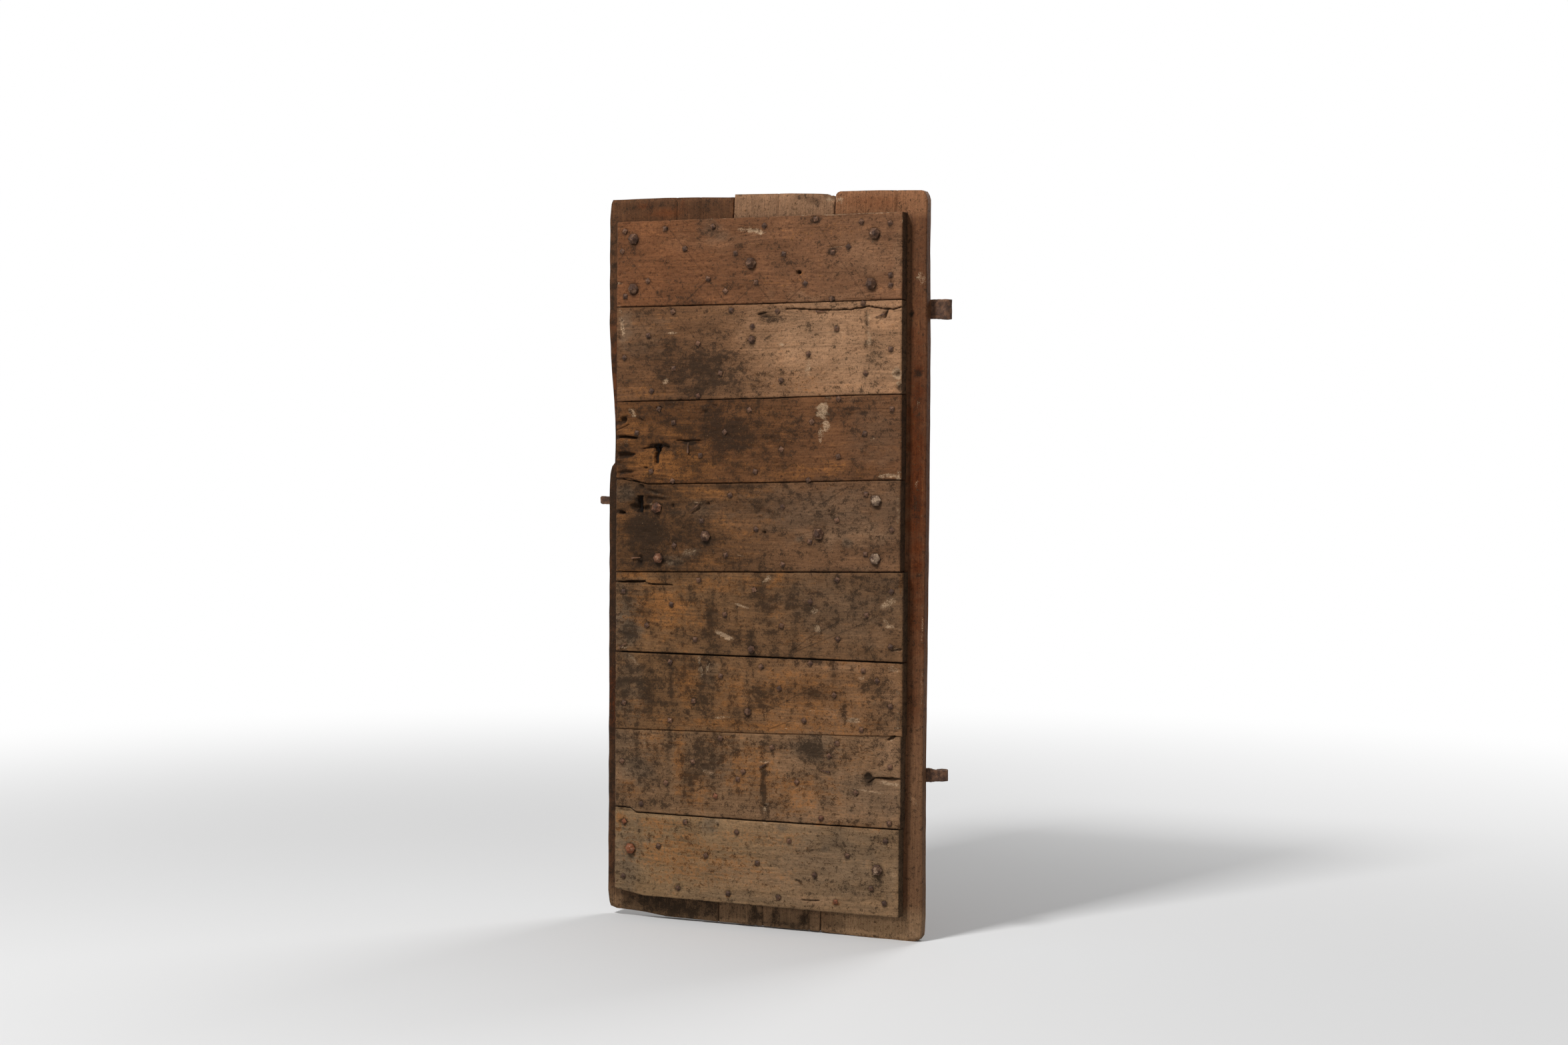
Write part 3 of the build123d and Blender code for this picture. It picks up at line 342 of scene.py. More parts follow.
# Parts of the back layer that show in front: tone marks in the same form
BACK_STAINS = [
    (100, 1736, 130, 9, 0.35), (250, 1722, 50, 30, 0.35), (525, 1735, 36, 12, 0.6, -15),
    (180, 30, 170, 40, 0.75), (397, 30, 20, 40, 0.7), (448, 30, 14, 40, 0.6),
    (523, 30, 18, 40, 0.75), (480, 12, 90, 10, 0.7), (740, 10, 50, 8, 0.3),
    (800, 1322, 14, 12, 0.9), (784, 1465, 5, 5, 0.9), (800, 1020, 12, 60, 0.35),
    (15, 850, 26, 900, 0.75), (12, 300, 12, 250, 0.3), (600, 30, 30, 30, 0.3),
    (800, 850, 24, 40, 0.25), (800, 560, 24, 90, 0.25), (802, 1230, 10, 60, 0.25),
]
BACK_WARMS = [
    (798, 1080, 30, 440, 1.0), (92, 1737, 34, 6, 1.0), (196, 1737, 10, 6, 1.0),
    (20, 1300, 20, 200, 0.5), (798, 560, 22, 80, 0.7), (12, 550, 14, 120, 0.7),
    (700, 1725, 90, 20, 0.3), (150, 1715, 60, 14, 0.4),
]
BACK_PALES = [
    (576, 1735, 18, 9, 1.0, -25), (600, 1732, 18, 8, 1.0, -30), (816, 740, 3, 60, 0.6),
    (802, 1250, 4, 12, 0.6), (806, 1545, 12, 18, 0.6, 20), (800, 330, 12, 20, 0.4, 30),
    # The thin lines at z 1745 to 1749 lie on the back layer's top arris: paler worn wood, and in
    # part a painted highlight where it catches the light from above.
    (702, 1745, 60, 3, 0.4), (800, 1070, 4, 12, 0.5), (420, 1748, 70, 3, 0.5),
    (150, 1749, 60, 3, 0.3), (816, 600, 5, 80, 0.4), (790, 20, 24, 16, 0.4), (700, 48, 70, 6, 0.4),
]
BACK_HOLLOWS = [
    (520, 1733, 34, 11, 4.0, -15), (576, 1740, 18, 9, 8.0, -25), (803, 1322, 12, 9, 5.0),
    (784, 1465, 4, 4, 6.0), (397, 30, 4, 40, 4.0), (448, 30, 3, 40, 4.0), (523, 30, 5, 40, 5.0),
    (806, 1545, 10, 12, 2.5, 20), (60, 10, 40, 8, 4.0), (800, 1020, 6, 14, 2.0),
    (805, 860, 8, 16, 1.5),
]
BACK_CRACKS = [
    ([(180, 1755), (180, 1690)], 1.6, 8.0),
    ([(244, 1755), (244, 1690)], 1.2, 5.0),
    ([(446, 1755), (446, 1690)], 1.4, 6.0),
    ([(745, 1752), (744, 1700)], 1.4, 6.0),
    ([(480, 1748), (510, 1736), (560, 1726)], 1.6, 6.0),
    ([(415, 4), (414, 60)], 1.6, 6.0),
    ([(535, 4), (536, 60)], 1.6, 6.0),
]

# Floor: radius, sides and where it fades to the white of the studio, in metres
FLOOR_RADIUS = 14.0
FLOOR_SIDES = 64
FLOOR_FADE = (1.0, 5.0)

# Lamps: place, size in metres and power in watts, and the level of the light all round
LAMPS = {
    "key": ((-1.6, -3.4, 4.5), 0.9, 248.0),
    "fill": ((2.6, -4.2, 0.2), 2.4, 24.0),
    "rear": ((0.8, 3.4, 3.0), 2.0, 80.0),
}
AMBIENT = 0.22
WHITE = (1.0, 1.0, 1.0, 1.0)

# Camera at the photograph's viewing angle
CAMERA_PLACE = (1.8239, -5.2808, 0.7779)
CAMERA_YAW = 22.886
CAMERA_PITCH = -1.943
CAMERA_ROLL = 0.349

# Part of the back layer's front face that the front boards cover, in leaf millimetres
COVERED_U = (20, 785)
COVERED_Z = (45, 1700)

# Large nails with pale scale, and nails that are freshly rusted: u, z, amount
PALE_NAILS = [(712, 1029, 0.62), (711, 894, 0.55), (722, 168, 0.4)]
RUSTY_NAILS = [(80, 173, 0.9), (147, 1004, 0.5), (152, 882, 0.5), (63, 238, 0.8), (618, 85, 0.8),
               (580, 280, 0.6), (307, 315, 0.6), (256, 1273, 0.5), (392, 1587, 0.2)]

# How far in mm from its middle a nail's points lie
NAIL_REACH = 16.0

# Steps of the noise's hash
PRIMES = np.array([73856093, 19349663, 83492791])


def noise(points, seed=0):
    """Smooth noise from -1 to 1 at each row of points."""
    floor = np.floor(points)
    part = points - floor
    part = part * part * (3.0 - 2.0 * part)
    cell = floor.astype(np.int64)
    size = points.shape[1]
    total = np.zeros(len(points))
    for corner in np.ndindex(*(2,) * size):
        mixed = ((cell + corner) * PRIMES[:size]).sum(axis=1) + seed * 40503
        mixed = (mixed ^ (mixed >> 13)) * 1274126177
        mixed = (mixed ^ (mixed >> 16)) * 668265263
        mixed = (mixed ^ (mixed >> 15)) & 0xFFFF
        weight = np.where(np.array(corner) > 0, part, 1.0 - part).prod(axis=1)
        total += weight * (mixed / 32767.5 - 1.0)
    return total


def fractal(points, octaves, seed=0):
    """Several octaves of smooth noise."""
    total = np.zeros(len(points))
    for octave in range(octaves):
        total += noise(points * 2.0**octave, seed + 17 * octave) * 0.5**octave
    return total


def smooth(low, high, value):
    """0 below low, 1 above high, and a smooth step between."""
    share = np.clip((value - low) / (high - low), 0.0, 1.0)
    return share * share * (3.0 - 2.0 * share)


def blot(u, z, marks, rough, seed, soft=0.9):
    """How much of a list of marks lies at each spot: soft ovals with ragged edges."""
    ragged = rough * fractal(np.column_stack([u / 26.0, z / 15.0]), 3, seed)
    total = np.zeros(len(u))
    for mark_u, mark_z, half_u, half_z, amount, *slope in marks:
        reach = 1.6 * max(half_u, half_z)
        near = (np.abs(u - mark_u) < reach) & (np.abs(z - mark_z) < reach)
        if not near.any():
            continue
        turn = math.radians(sum(slope))
        off_u = u[near] - mark_u
        off_z = z[near] - mark_z
        along = off_u * math.cos(turn) + off_z * math.sin(turn)
        across = off_z * math.cos(turn) - off_u * math.sin(turn)
        away = np.sqrt((along / half_u) ** 2 + (across / half_z) ** 2) + ragged[near]
        total[near] = np.maximum(total[near], amount * smooth(1.25, 1.25 - soft, away))
    return total


def near_line(u, z, points):
    """Distance in mm from each spot to a broken line."""
    nearest = np.full(len(u), 1e9)
    for (u0, z0), (u1, z1) in zip(points, points[1:]):
        length = (u1 - u0) ** 2 + (z1 - z0) ** 2
        share = np.clip(((u - u0) * (u1 - u0) + (z - z0) * (z1 - z0)) / length, 0.0, 1.0)
        away = np.hypot(u - u0 - share * (u1 - u0), z - z0 - share * (z1 - z0))
        nearest = np.minimum(nearest, away)
    return nearest


def mix(under, over, amount):
    """Colour under, covered by colour over."""
    return under + (np.array(over) - under) * amount[:, None]


def tree_of(node):
    """Ray tree of a CAD node."""
    return BVHTree.FromObject(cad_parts[node], bpy.context.evaluated_depsgraph_get())


def outline_of(node, y, columns, rows):
    """Grid of spots over a board, taken from where rays meet the CAD board's edges at depth y."""
    tree = tree_of(node)
    low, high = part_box(node)
    far = 1.0
    inset = 12.0 * MM
    across = np.linspace(low.x + inset, high.x - inset, columns + 1)

    def hit(x, z, dx, dz, axis):
        found = tree.ray_cast(Vector((x, y, z)), Vector((dx, 0.0, dz)))[0]
        return found[axis]

    foot = np.array([hit(x, low.z - far, 0, 1, 2) for x in across])
    top = np.array([hit(x, high.z + far, 0, -1, 2) for x in across])
    skip = 1.0 * MM
    rise_left = np.linspace(foot[0] + skip, top[0] - skip, rows + 1)
    rise_right = np.linspace(foot[-1] + skip, top[-1] - skip, rows + 1)
    left = np.array([hit(low.x - far, z, 1, 0, 0) for z in rise_left])
    right = np.array([hit(high.x + far, z, -1, 0, 0) for z in rise_right])
    share_u, share_z = np.meshgrid(np.linspace(0, 1, columns + 1), np.linspace(0, 1, rows + 1))
    share_u, share_z = share_u.ravel(), share_z.ravel()
    z = low.z + share_z * (high.z - low.z)
    for _ in range(6):
        start = np.interp(z, rise_left, left)
        end = np.interp(z, rise_right, right)
        x = start + share_u * (end - start)
        low_edge = np.interp(x, across, foot)
        high_edge = np.interp(x, across, top)
        z = low_edge + share_z * (high_edge - low_edge)
    edges = [x - start, end - x, z - low_edge, high_edge - z]
    return (x - LEFT) / MM, (z - FOOT) / MM, [edge / MM for edge in edges]


def ring_of(columns, rows):
    """Indices round the edge of a grid, in order."""
    wide = columns + 1
    foot = list(range(0, columns))
    right = [row * wide + columns for row in range(0, rows)]
    top = [rows * wide + column for column in range(columns, 0, -1)]
    left = [row * wide for row in range(rows, 0, -1)]
    return np.array(foot + right + top + left)


def grid_faces(columns, rows, start=0, flip=False):
    """Quads over a grid."""
    wide = columns + 1
    column, row = np.meshgrid(np.arange(columns), np.arange(rows))
    corner = (row * wide + column).ravel() + start
    quads = np.column_stack([corner, corner + 1, corner + wide + 1, corner + wide])
    return quads[:, ::-1] if flip else quads


def band(before, after):
    """Quads between two rings of points."""
    return list(np.column_stack([before, after, np.roll(after, -1), np.roll(before, -1)]))


def rounding(edges, radius):
    """Depth lost along worn edges."""
    lost = np.zeros(len(radius))
    for edge in edges:
        inside = np.clip(edge, 0.0, radius)
        arc = np.sqrt(np.maximum(radius**2 - (radius - inside) ** 2, 0.0))
        lost = np.maximum(lost, radius - arc)
    return lost


def to_frame(u, depth_y, z):
    """Spots on the leaf as points in the frame."""
    return np.column_stack([u * MM + LEFT, depth_y, z * MM + FOOT])


def link(name, data):
    """New object in the scene with this mesh, lamp or camera."""
    made = bpy.data.objects.new(name, data)
    bpy.context.scene.collection.objects.link(made)
    return made


def new_object(name, points, faces):
    """Mesh object of these points and faces, shaded smooth."""
    mesh = bpy.data.meshes.new(name)
    mesh.from_pydata(points.tolist(), [], [list(map(int, face)) for face in faces])
    mesh.validate()
    mesh.polygons.foreach_set("use_smooth", [True] * len(mesh.polygons))
    return link(name, mesh)


def points_of(made):
    """Vertices of an object as rows."""
    points = np.zeros(len(made.data.vertices) * 3)
    made.data.vertices.foreach_get("co", points)
    return points.reshape(-1, 3)


def leaf_spots(made):
    """Where an object's vertices are: u and z on the leaf, and y in the frame."""
    points = points_of(made)
    return (points[:, 0] - LEFT) / MM, (points[:, 2] - FOOT) / MM, points[:, 1]


def give(made, name, values):
    """Store a value for each vertex, which the materials read by name."""
    kind = "FLOAT" if values.ndim == 1 else "FLOAT_VECTOR"
    attribute = made.data.attributes.new(name, kind, "POINT")
    field = "value" if kind == "FLOAT" else "vector"
    attribute.data.foreach_set(field, values.astype(np.float32).ravel())


def settle(made, mesh_name):
    """Replace an object's mesh by what its modifiers make of it."""
    bpy.context.view_layer.update()
    evaluated = made.evaluated_get(bpy.context.evaluated_depsgraph_get())
    mesh = bpy.data.meshes.new_from_object(evaluated)
    mesh.name = mesh_name
    made.modifiers.clear()
    made.data = mesh


def cut(made, outline, y0, y1):
    """Cut a hole with this outline, in leaf millimetres, through an object."""
    count = len(outline)
    ring = np.array(outline)
    points = np.vstack([to_frame(ring[:, 0], np.full(count, y), ring[:, 1]) for y in (y0, y1)])
    sides = [(k, (k + 1) % count, (k + 1) % count + count, k + count) for k in range(count)]
    faces = [tuple(range(count))[::-1], tuple(range(count, 2 * count))] + sides
    cutter = new_object("cutter", points, faces)
    bm = bmesh.new()
    bm.from_mesh(cutter.data)
    bmesh.ops.recalc_face_normals(bm, faces=bm.faces)
    bm.to_mesh(cutter.data)
    bm.free()
    tool = made.modifiers.new("cut", "BOOLEAN")
    tool.operation = "DIFFERENCE"
    tool.solver = "EXACT"
    tool.object = cutter
    settle(made, made.name)
    bpy.data.objects.remove(cutter)


def nail_spots(node):
    """Middle of each nail head of a CAD node, in leaf millimetres."""
    points = points_of(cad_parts[node])
    tips = points[points[:, 1] < points[:, 1].min() + 0.1 * MM]
    groups = []
    for x, _, z in tips:
        spot = np.array([(x - LEFT) / MM, (z - FOOT) / MM])
        for group in groups:
            if np.hypot(*(group[0] - spot)) < 14.0:
                group.append(spot)
                break
        else:
            groups.append([spot])
    return [np.mean(group, axis=0) for group in groups]


small_nails = []
for row in range(1, FRONT_ROWS + 1):
    small_nails += nail_spots(f"small_nails_{row}")
large_nails = nail_spots("large_nails")
round_nails = nail_spots("round_nails")


def halos(u, z):
    """Dark iron stain round every nail, running down a little."""
    total = np.zeros(len(u))
    for spots, radius in ((small_nails, 11.0), (round_nails, 17.0), (large_nails, 22.0)):
        for spot in spots:
            near = (np.abs(u - spot[0]) < 3 * radius) & (np.abs(z - spot[1]) < 3 * radius)
            sunk = np.where(z[near] < spot[1], 1.5, 1.0)
            away = np.hypot(u[near] - spot[0], (z[near] - spot[1]) / sunk)
            total[near] = np.maximum(total[near], smooth(radius, 0.35 * radius, away))
    return total


def front_relief(u, z, edges, row):
    """Depth in mm of the worn face of a front board."""
    spots = np.column_stack([u, z])
    seed = 100 * row
    radius = 2.0 + 1.2 * noise(spots / 23.0, seed + 1)
    depth = rounding(edges, np.clip(radius, 0.8, 4.0))
    waves = 0.7 * noise(spots / (110.0, 24.0), seed + 2)
    waves += 0.35 * noise(spots / (34.0, 6.0), seed + 3)
    depth += np.clip(1.0 + waves, 0.0, 3.0)
    pits = noise(spots / (9.0, 5.0), seed + 4) * 0.6 + noise(spots / (4.5, 3.5), seed + 5) * 0.6
    worn = 0.4 + 0.6 * smooth(-0.3, 0.5, noise(spots / 90.0, seed + 6))
    depth += 2.4 * smooth(0.42, 0.95, pits) * worn
    dents = noise(spots / (16.0, 9.0), seed + 8) + 0.7 * noise(spots / (7.0, 5.0), seed + 9)
    depth += 1.3 * smooth(0.05, 0.95, dents)
    for number, mark in enumerate(HOLLOWS):
        depth += blot(u, z, [mark], 0.28, number)
    for points, half, deep in CRACKS:
        wander = 1.2 * noise(spots / (14.0, 40.0), seed + 7)
        away = near_line(u, z + wander, points)
        depth += deep * smooth(half * 1.6, half * 0.4, away)
    for points in SCRATCHES:
        depth += 0.35 * smooth(2.2, 0.5, near_line(u, z, points))
    return np.minimum(depth, DEEPEST)


def front_board(row):
    """Worn level board of the front layer."""
    node = f"front_board_{row}"
    low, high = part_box(node)
    columns = round((high.x - low.x) / MM / FRONT_STEPS[0])
    rows = round((high.z - low.z) / MM / FRONT_STEPS[1])
    u, z, edges = outline_of(node, MIDDLE - 3.0 * MM, columns, rows)
    depth = front_relief(u, z, edges, row)
    face = to_frame(u, FRONT + depth * MM, z)
    ring = ring_of(columns, rows)
    points = [face]
    centre_u, centre_z = (u.min() + u.max()) / 2, (z.min() + z.max()) / 2
    on_end = np.minimum(edges[0][ring], edges[1][ring]) < np.minimum(edges[2][ring], edges[3][ring])
    inward_u = np.where(on_end, np.sign(centre_u - u[ring]), 0.0)
    inward_z = np.where(on_end, 0.0, np.sign(centre_z - z[ring]))
    for step in range(1, FRONT_WALL_STEPS + 1):
        share = step / FRONT_WALL_STEPS
        y = FRONT + depth[ring] * MM + share * (MIDDLE - FRONT - depth[ring] * MM)
        spots = np.column_stack([u[ring] / 7.0, z[ring] / 3.0, y / MM / 4.0])
        rough = np.abs(fractal(spots, 2, 50 + row)) * np.where(on_end, 1.4, 0.5) * (share < 1)
        points.append(to_frame(u[ring] + inward_u * rough, y, z[ring] + inward_z * rough))
    count = len(face)
    size = len(ring)
    faces = list(grid_faces(columns, rows))
    before = ring
    for step in range(FRONT_WALL_STEPS):
        after = np.arange(count + step * size, count + (step + 1) * size)
        faces += band(before, after)
        before = after
    faces.append(before[::-1])
    return new_object(f"worn_{node}", np.vstack(points), faces)


def key_outline():
    """Edge of the worn keyhole."""
    key_u, key_z = 149.0, 1148.0
    ring = []
    for step in range(40):
        turn = math.radians(-58 + step * 296 / 39)
        radius = 12.6 + 0.9 * math.sin(3 * turn) + 0.5 * math.sin(7 * turn)
        ring.append((key_u + radius * math.cos(turn), key_z + radius * math.sin(turn)))
    slot = [(139.6, 1136), (139.0, 1124), (139.8, 1113), (142.5, 1110.6), (147, 1110.4),
            (151.5, 1111), (152.8, 1114), (153.2, 1128)]
    return ring + slot


def slot_outline():
    """Edge of the worn latch slot."""
    return [(93, 991.2), (102, 990.8), (111, 991.4), (111.2, 1004), (111, 1020), (111.3, 1032.6),
            (103, 1033.2), (94, 1032.8), (92.8, 1020), (93, 1004)]


def board_attributes(made, row):
    """Tone, stain, chips, dirt with painted shade, and grain of a front board's vertices."""
    u, z, y = leaf_spots(made)
    depth = (y - FRONT) / MM
    spots = np.column_stack([u, z])
    seed = 100 * row
    left_tone, right_tone, grime = FRONT_TONES[row - 1]
    across = smooth(120.0, 700.0, u)[:, None]
    tone = np.array(srgb(*left_tone)) * (1 - across) + np.array(srgb(*right_tone)) * across
    tone = tone * (1.0 + 0.12 * fractal(spots / (120.0, 30.0), 3, seed + 11))[:, None]
    # Paler patches, with a painted pool of light on board 2.
    tone = mix(tone, TAN, blot(u, z, PALE_AND_LIT_PATCHES, 0.25, 21, 1.2) * 0.9)
    tone = mix(tone, GREY, 0.7 * blot(u, z, GREYS, 0.35, 23, 1.1))
    stain = grime + 0.92 * blot(u, z, STAINS, 0.22, 24, 1.25)
    stain += 0.20 * fractal(spots / (60.0, 44.0), 3, seed + 14)
    if row in DRIPPED:
        stain += 0.14 * fractal(spots / (15.0, 64.0), 2, seed + 18)
    warm = blot(u, z, WARMS, 0.30, 22, 1.1)
    pale = blot(u, z, PALES, 0.55, 25)
    # Darker along the top and bottom of each board, in the seams between the boards: painted shade.
    seam_shade = np.maximum(smooth(6.0, 0.0, z - z.min()), smooth(4.0, 0.0, z.max() - z))
    on_face = depth < 6.0
    end = (~on_face) & ((u < u.min() + 4) | (u > u.max() - 4))
    # Darker the deeper into the wood: painted shade on the board sides between the boards, and dirt
    # and painted shade in cracks and hollows; the halos round the nails are iron stain.
    dirt_and_shade = 0.35 * seam_shade + 0.8 * halos(u, z) + 0.9 * smooth(2.8, 7.0, depth) * (~end)
    worn_edge = smooth(3.5, 1.5, u.max() - u)
    worn_edge *= smooth(0.1, 0.6, noise(spots / (4.0, 9.0), seed + 15))
    pale = np.maximum(np.where(on_face, pale, 0.0), 0.6 * worn_edge * (depth < 3.5))
    tone = np.where(end[:, None], tone * 0.45 + np.array(GREY) * 0.12, tone)
    stain = np.where(end, 0.62, stain)
    lines = np.zeros(len(u))
    for line in SCRATCHES:
        lines = np.maximum(lines, smooth(2.4, 0.4, near_line(u, z, line)))
    give(made, "tone", tone)
    give(made, "stain", stain)
    give(made, "warm", np.where(on_face, warm, 0.0))
    give(made, "pale", pale)
    give(made, "dirt_and_shade", np.clip(np.maximum(dirt_and_shade, 0.60 * lines * on_face), 0, 1))
    sway = 6.0 * noise(spots / (260.0, 120.0), seed + 16)
    sway += 1.5 * noise(spots / (70.0, 30.0), seed + 17)
    lift = np.zeros(len(u))
    for knot_u, knot_z, knot in KNOTS:
        near = np.exp(-(((u - knot_u) / (2.2 * knot)) ** 2) - ((z - knot_z) / (1.4 * knot)) ** 2)
        lift += np.sign(z - knot_z) * knot * 0.6 * near
    give(made, "grain", np.column_stack([u + 977.0 * row, z + sway - lift + 331.0 * row, depth]))


def back_board(side):
    """Worn upright board of the back layer, dense on both faces."""
    node = f"back_board_{side}"
    low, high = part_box(node)
    columns = round((high.x - low.x) / MM / BACK_STEPS[0])
    rows = round((high.z - low.z) / MM / BACK_STEPS[1])
    u, z, edges = outline_of(node, BACK - 5.0 * MM, columns, rows)
    spots = np.column_stack([u, z])
    seed = 900 + 10 * BACK_SIDES.index(side)
    radius = np.clip(2.4 + 1.4 * noise(spots / 31.0, seed), 0.8, 4.5)
    round_off = rounding(edges, radius)
    waves = 0.5 * noise(spots / (18.0, 160.0), seed + 1)
    waves += 0.25 * noise(spots / (5.0, 60.0), seed + 2)
    front_depth = round_off + np.clip(0.4 + waves, 0.0, 3.0)
    front_depth += blot(u, z, BACK_HOLLOWS, 0.28, seed)
    for points, half, deep in BACK_CRACKS:
        front_depth += deep * smooth(half * 2.2, half * 0.5, near_line(u, z, points))
    back_waves = 0.5 * noise(spots / (22.0, 190.0), seed + 3)
    back_waves += 0.3 * noise(spots / (6.0, 70.0), seed + 4)
    back_depth = round_off + np.clip(0.5 + back_waves, 0.0, 3.0)
    front_face = to_frame(u, MIDDLE + front_depth * MM, z)
    back_face = to_frame(u, BACK - back_depth * MM, z)
    count = len(u)
    ring = ring_of(columns, rows)
    size = len(ring)
    nearest = np.argmin(np.column_stack([edge[ring] for edge in edges]), axis=1)
    inward_u = np.choose(nearest, [1.0, -1.0, 0.0, 0.0])
    inward_z = np.choose(nearest, [0.0, 0.0, 1.0, -1.0])
    layers = [front_face, back_face]
    faces = list(grid_faces(columns, rows)) + list(grid_faces(columns, rows, count, True))
    before = ring
    for step in range(1, BACK_WALL_STEPS):
        share = step / BACK_WALL_STEPS
        y = front_face[ring, 1] + share * (back_face[ring, 1] - front_face[ring, 1])
        grain = np.column_stack([u[ring] / 9.0, z[ring] / 30.0, y / MM / 5.0])
        rough = 0.8 * np.abs(fractal(grain, 2, seed + 5))
        layers.append(to_frame(u[ring] + inward_u * rough, y, z[ring] + inward_z * rough))
        after = np.arange(2 * count + (step - 1) * size, 2 * count + step * size)
        faces += band(before, after)
        before = after
    after = ring + count
    faces += band(before, after)
    return new_object(f"worn_{node}", np.vstack(layers), faces)


def back_attributes(made, side):
    """Tone, stain, chips, painted shade and grain of a back board's vertices."""
    u, z, y = leaf_spots(made)
    depth = (y - MIDDLE) / MM
    spots = np.column_stack([u, z])
    seed = 1300 + 10 * BACK_SIDES.index(side)
    rear = depth > BACK_THICKNESS - 5.0
    fore = depth < 9.0
    edge = (~rear) & (~fore)
    tone = np.tile(np.array(srgb(*BACK_TONES[side])), (len(u), 1))
    tone = tone * (1.0 + 0.14 * fractal(spots / (30.0, 160.0), 3, seed))[:, None]
    warm = 0.9 * blot(u, z, BACK_WARMS, 0.25, seed + 1, 1.1)
    tone = mix(tone, RED_ORANGE, np.where(rear, 0.0, warm))
    tone = mix(tone, WORN_FOOT, 0.8 * smooth(110.0, 20.0, z))
    # Lighter at the right end of the foot strip: painted light, where the front boards' overhang
    # shades the strip.
    tone = mix(tone, PAINTED_LIGHT_FOOT, 0.8 * smooth(90.0, 50.0, z) * smooth(560.0, 640.0, u))
    # The back layer's strip right of the front boards is darkened towards a deep red-brown, more
    # from z 500 upwards: painted shade, and in part the strip's own deeper colour.
    strip_shade = smooth(775.0, 785.0, u) * smooth(60.0, 110.0, z) * smooth(1700.0, 1680.0, z)
    strip_shade *= 0.30 + 0.28 * smooth(500.0, 800.0, z)
    tone = mix(tone, SHADED_RED_STRIP, np.where(rear, 0.0, strip_shade))
    tone = mix(tone, DULL_STRIP, 0.55 * smooth(740.0, 300.0, z) * smooth(780.0, 790.0, u))
    tone = np.where(rear[:, None], tone * 0.8 + np.array(BROWN) * 0.2, tone)
    tone = np.where(edge[:, None], tone * 0.75, tone)
    stain = np.where(rear, 0.2 + 0.25 * fractal(spots / (60.0, 200.0), 3, seed + 2),
                     0.2 + blot(u, z, BACK_STAINS, 0.35, seed + 3, 1.1))
    pale = np.where(rear, 0.0, blot(u, z, BACK_PALES, 0.35, seed + 4))
    covered = (u > COVERED_U[0]) & (u < COVERED_U[1]) & (z > COVERED_Z[0]) & (z < COVERED_Z[1])
    # Darker where the front boards cover the back layer's front face, and deeper into the wood near
    # it: painted shade in the gaps and joints between the boards.
    dirt_and_shade = np.where(covered & fore, 0.5, 0.0) + 0.5 * smooth(3.0, 8.0, depth) * fore
    give(made, "tone", tone)
    give(made, "stain", stain)
    give(made, "warm", np.zeros(len(u)))
    give(made, "pale", pale)
    give(made, "dirt_and_shade", np.clip(dirt_and_shade, 0, 1))
    sway = 10.0 * noise(spots / (120.0, 420.0), seed + 6)
    sway += 2.0 * noise(spots / (40.0, 160.0), seed + 7)
    give(made, "grain", np.column_stack([z + 700.0 * seed, u + sway + 57.0 * seed, depth]))


def marked(made, marks):
    """How much each vertex belongs to the nails in a list."""
    u, z, _ = leaf_spots(made)
    total = np.zeros(len(u))
    for mark_u, mark_z, amount in marks:
        total[np.hypot(u - mark_u, z - mark_z) < NAIL_REACH] = amount
    return total


def hammered(node, jitter, bevel, seed, shine=0.0):
    """Copy of a node's nails as hammered iron: uneven facets, worn arrises and a rough skin."""
    bm = bmesh.new()
    bm.from_mesh(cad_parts[node].data)
    low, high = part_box(node)
    bmesh.ops.remove_doubles(bm, verts=bm.verts, dist=MERGE)
    bmesh.ops.dissolve_limit(bm, angle_limit=0.02, verts=bm.verts, edges=bm.edges)
    points = np.array([vertex.co for vertex in bm.verts])
    proud = (points[:, 1] < FRONT - 0.3 * MM) | (points[:, 1] > BACK + 0.3 * MM)
    for axis in range(3):
        push = noise(points / MM / 5.3, seed + axis)
        points[:, axis] += jitter * MM * push * proud * (0.5 if axis == 1 else 1.0)
    points = np.clip(points, np.array(low), np.array(high))
    for vertex, point in zip(bm.verts, points):
        vertex.co = point
    bmesh.ops.bevel(bm, geom=bm.edges[:], offset=bevel * MM, segments=2, affect="EDGES",
                    profile=0.6, clamp_overlap=True)
    name = f"hammered_{node}"
    mesh = bpy.data.meshes.new(name)
    bm.to_mesh(mesh)
    bm.free()
    made = link(name, mesh)
    # shine spreads pale scale over all of this node's nails: in part paler scale, in part a painted
    # sheen that lightens them.
    give(made, "pale", np.maximum(marked(made, PALE_NAILS), shine))
    give(made, "rust", marked(made, RUSTY_NAILS))
    finish_piece(made, "leaf", node, iron)


def forged(node, voxel, rough, body, seed):
    """Copy of a CAD plate as forged iron: soft arrises and a hammered, pitted skin."""
    name = f"forged_{node}"
    made = link(name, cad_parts[node].data.copy())
    weld = made.modifiers.new("weld", "WELD")
    weld.merge_threshold = MERGE
    remesh = made.modifiers.new("remesh", "REMESH")
    remesh.mode = "VOXEL"
    remesh.voxel_size = voxel * MM
    settle(made, name)
    points = points_of(made)
    normals = np.zeros(len(points) * 3)
    made.data.vertices.foreach_get("normal", normals)
    normals = normals.reshape(-1, 3)
    spots = points / MM
    push = 0.6 * noise(spots / 13.0, seed) + 0.4 * noise(spots / 5.0, seed + 1)
    pits = smooth(0.35, 0.8, noise(spots / 3.6, seed + 2))
    points += normals * ((rough * np.minimum(push - 0.4, 0.0) - 0.35 * pits) * MM)[:, None]
    made.data.vertices.foreach_set("co", points.ravel())
    made.data.polygons.foreach_set("use_smooth", [True] * len(made.data.polygons))
    finish_piece(made, body, node, iron)


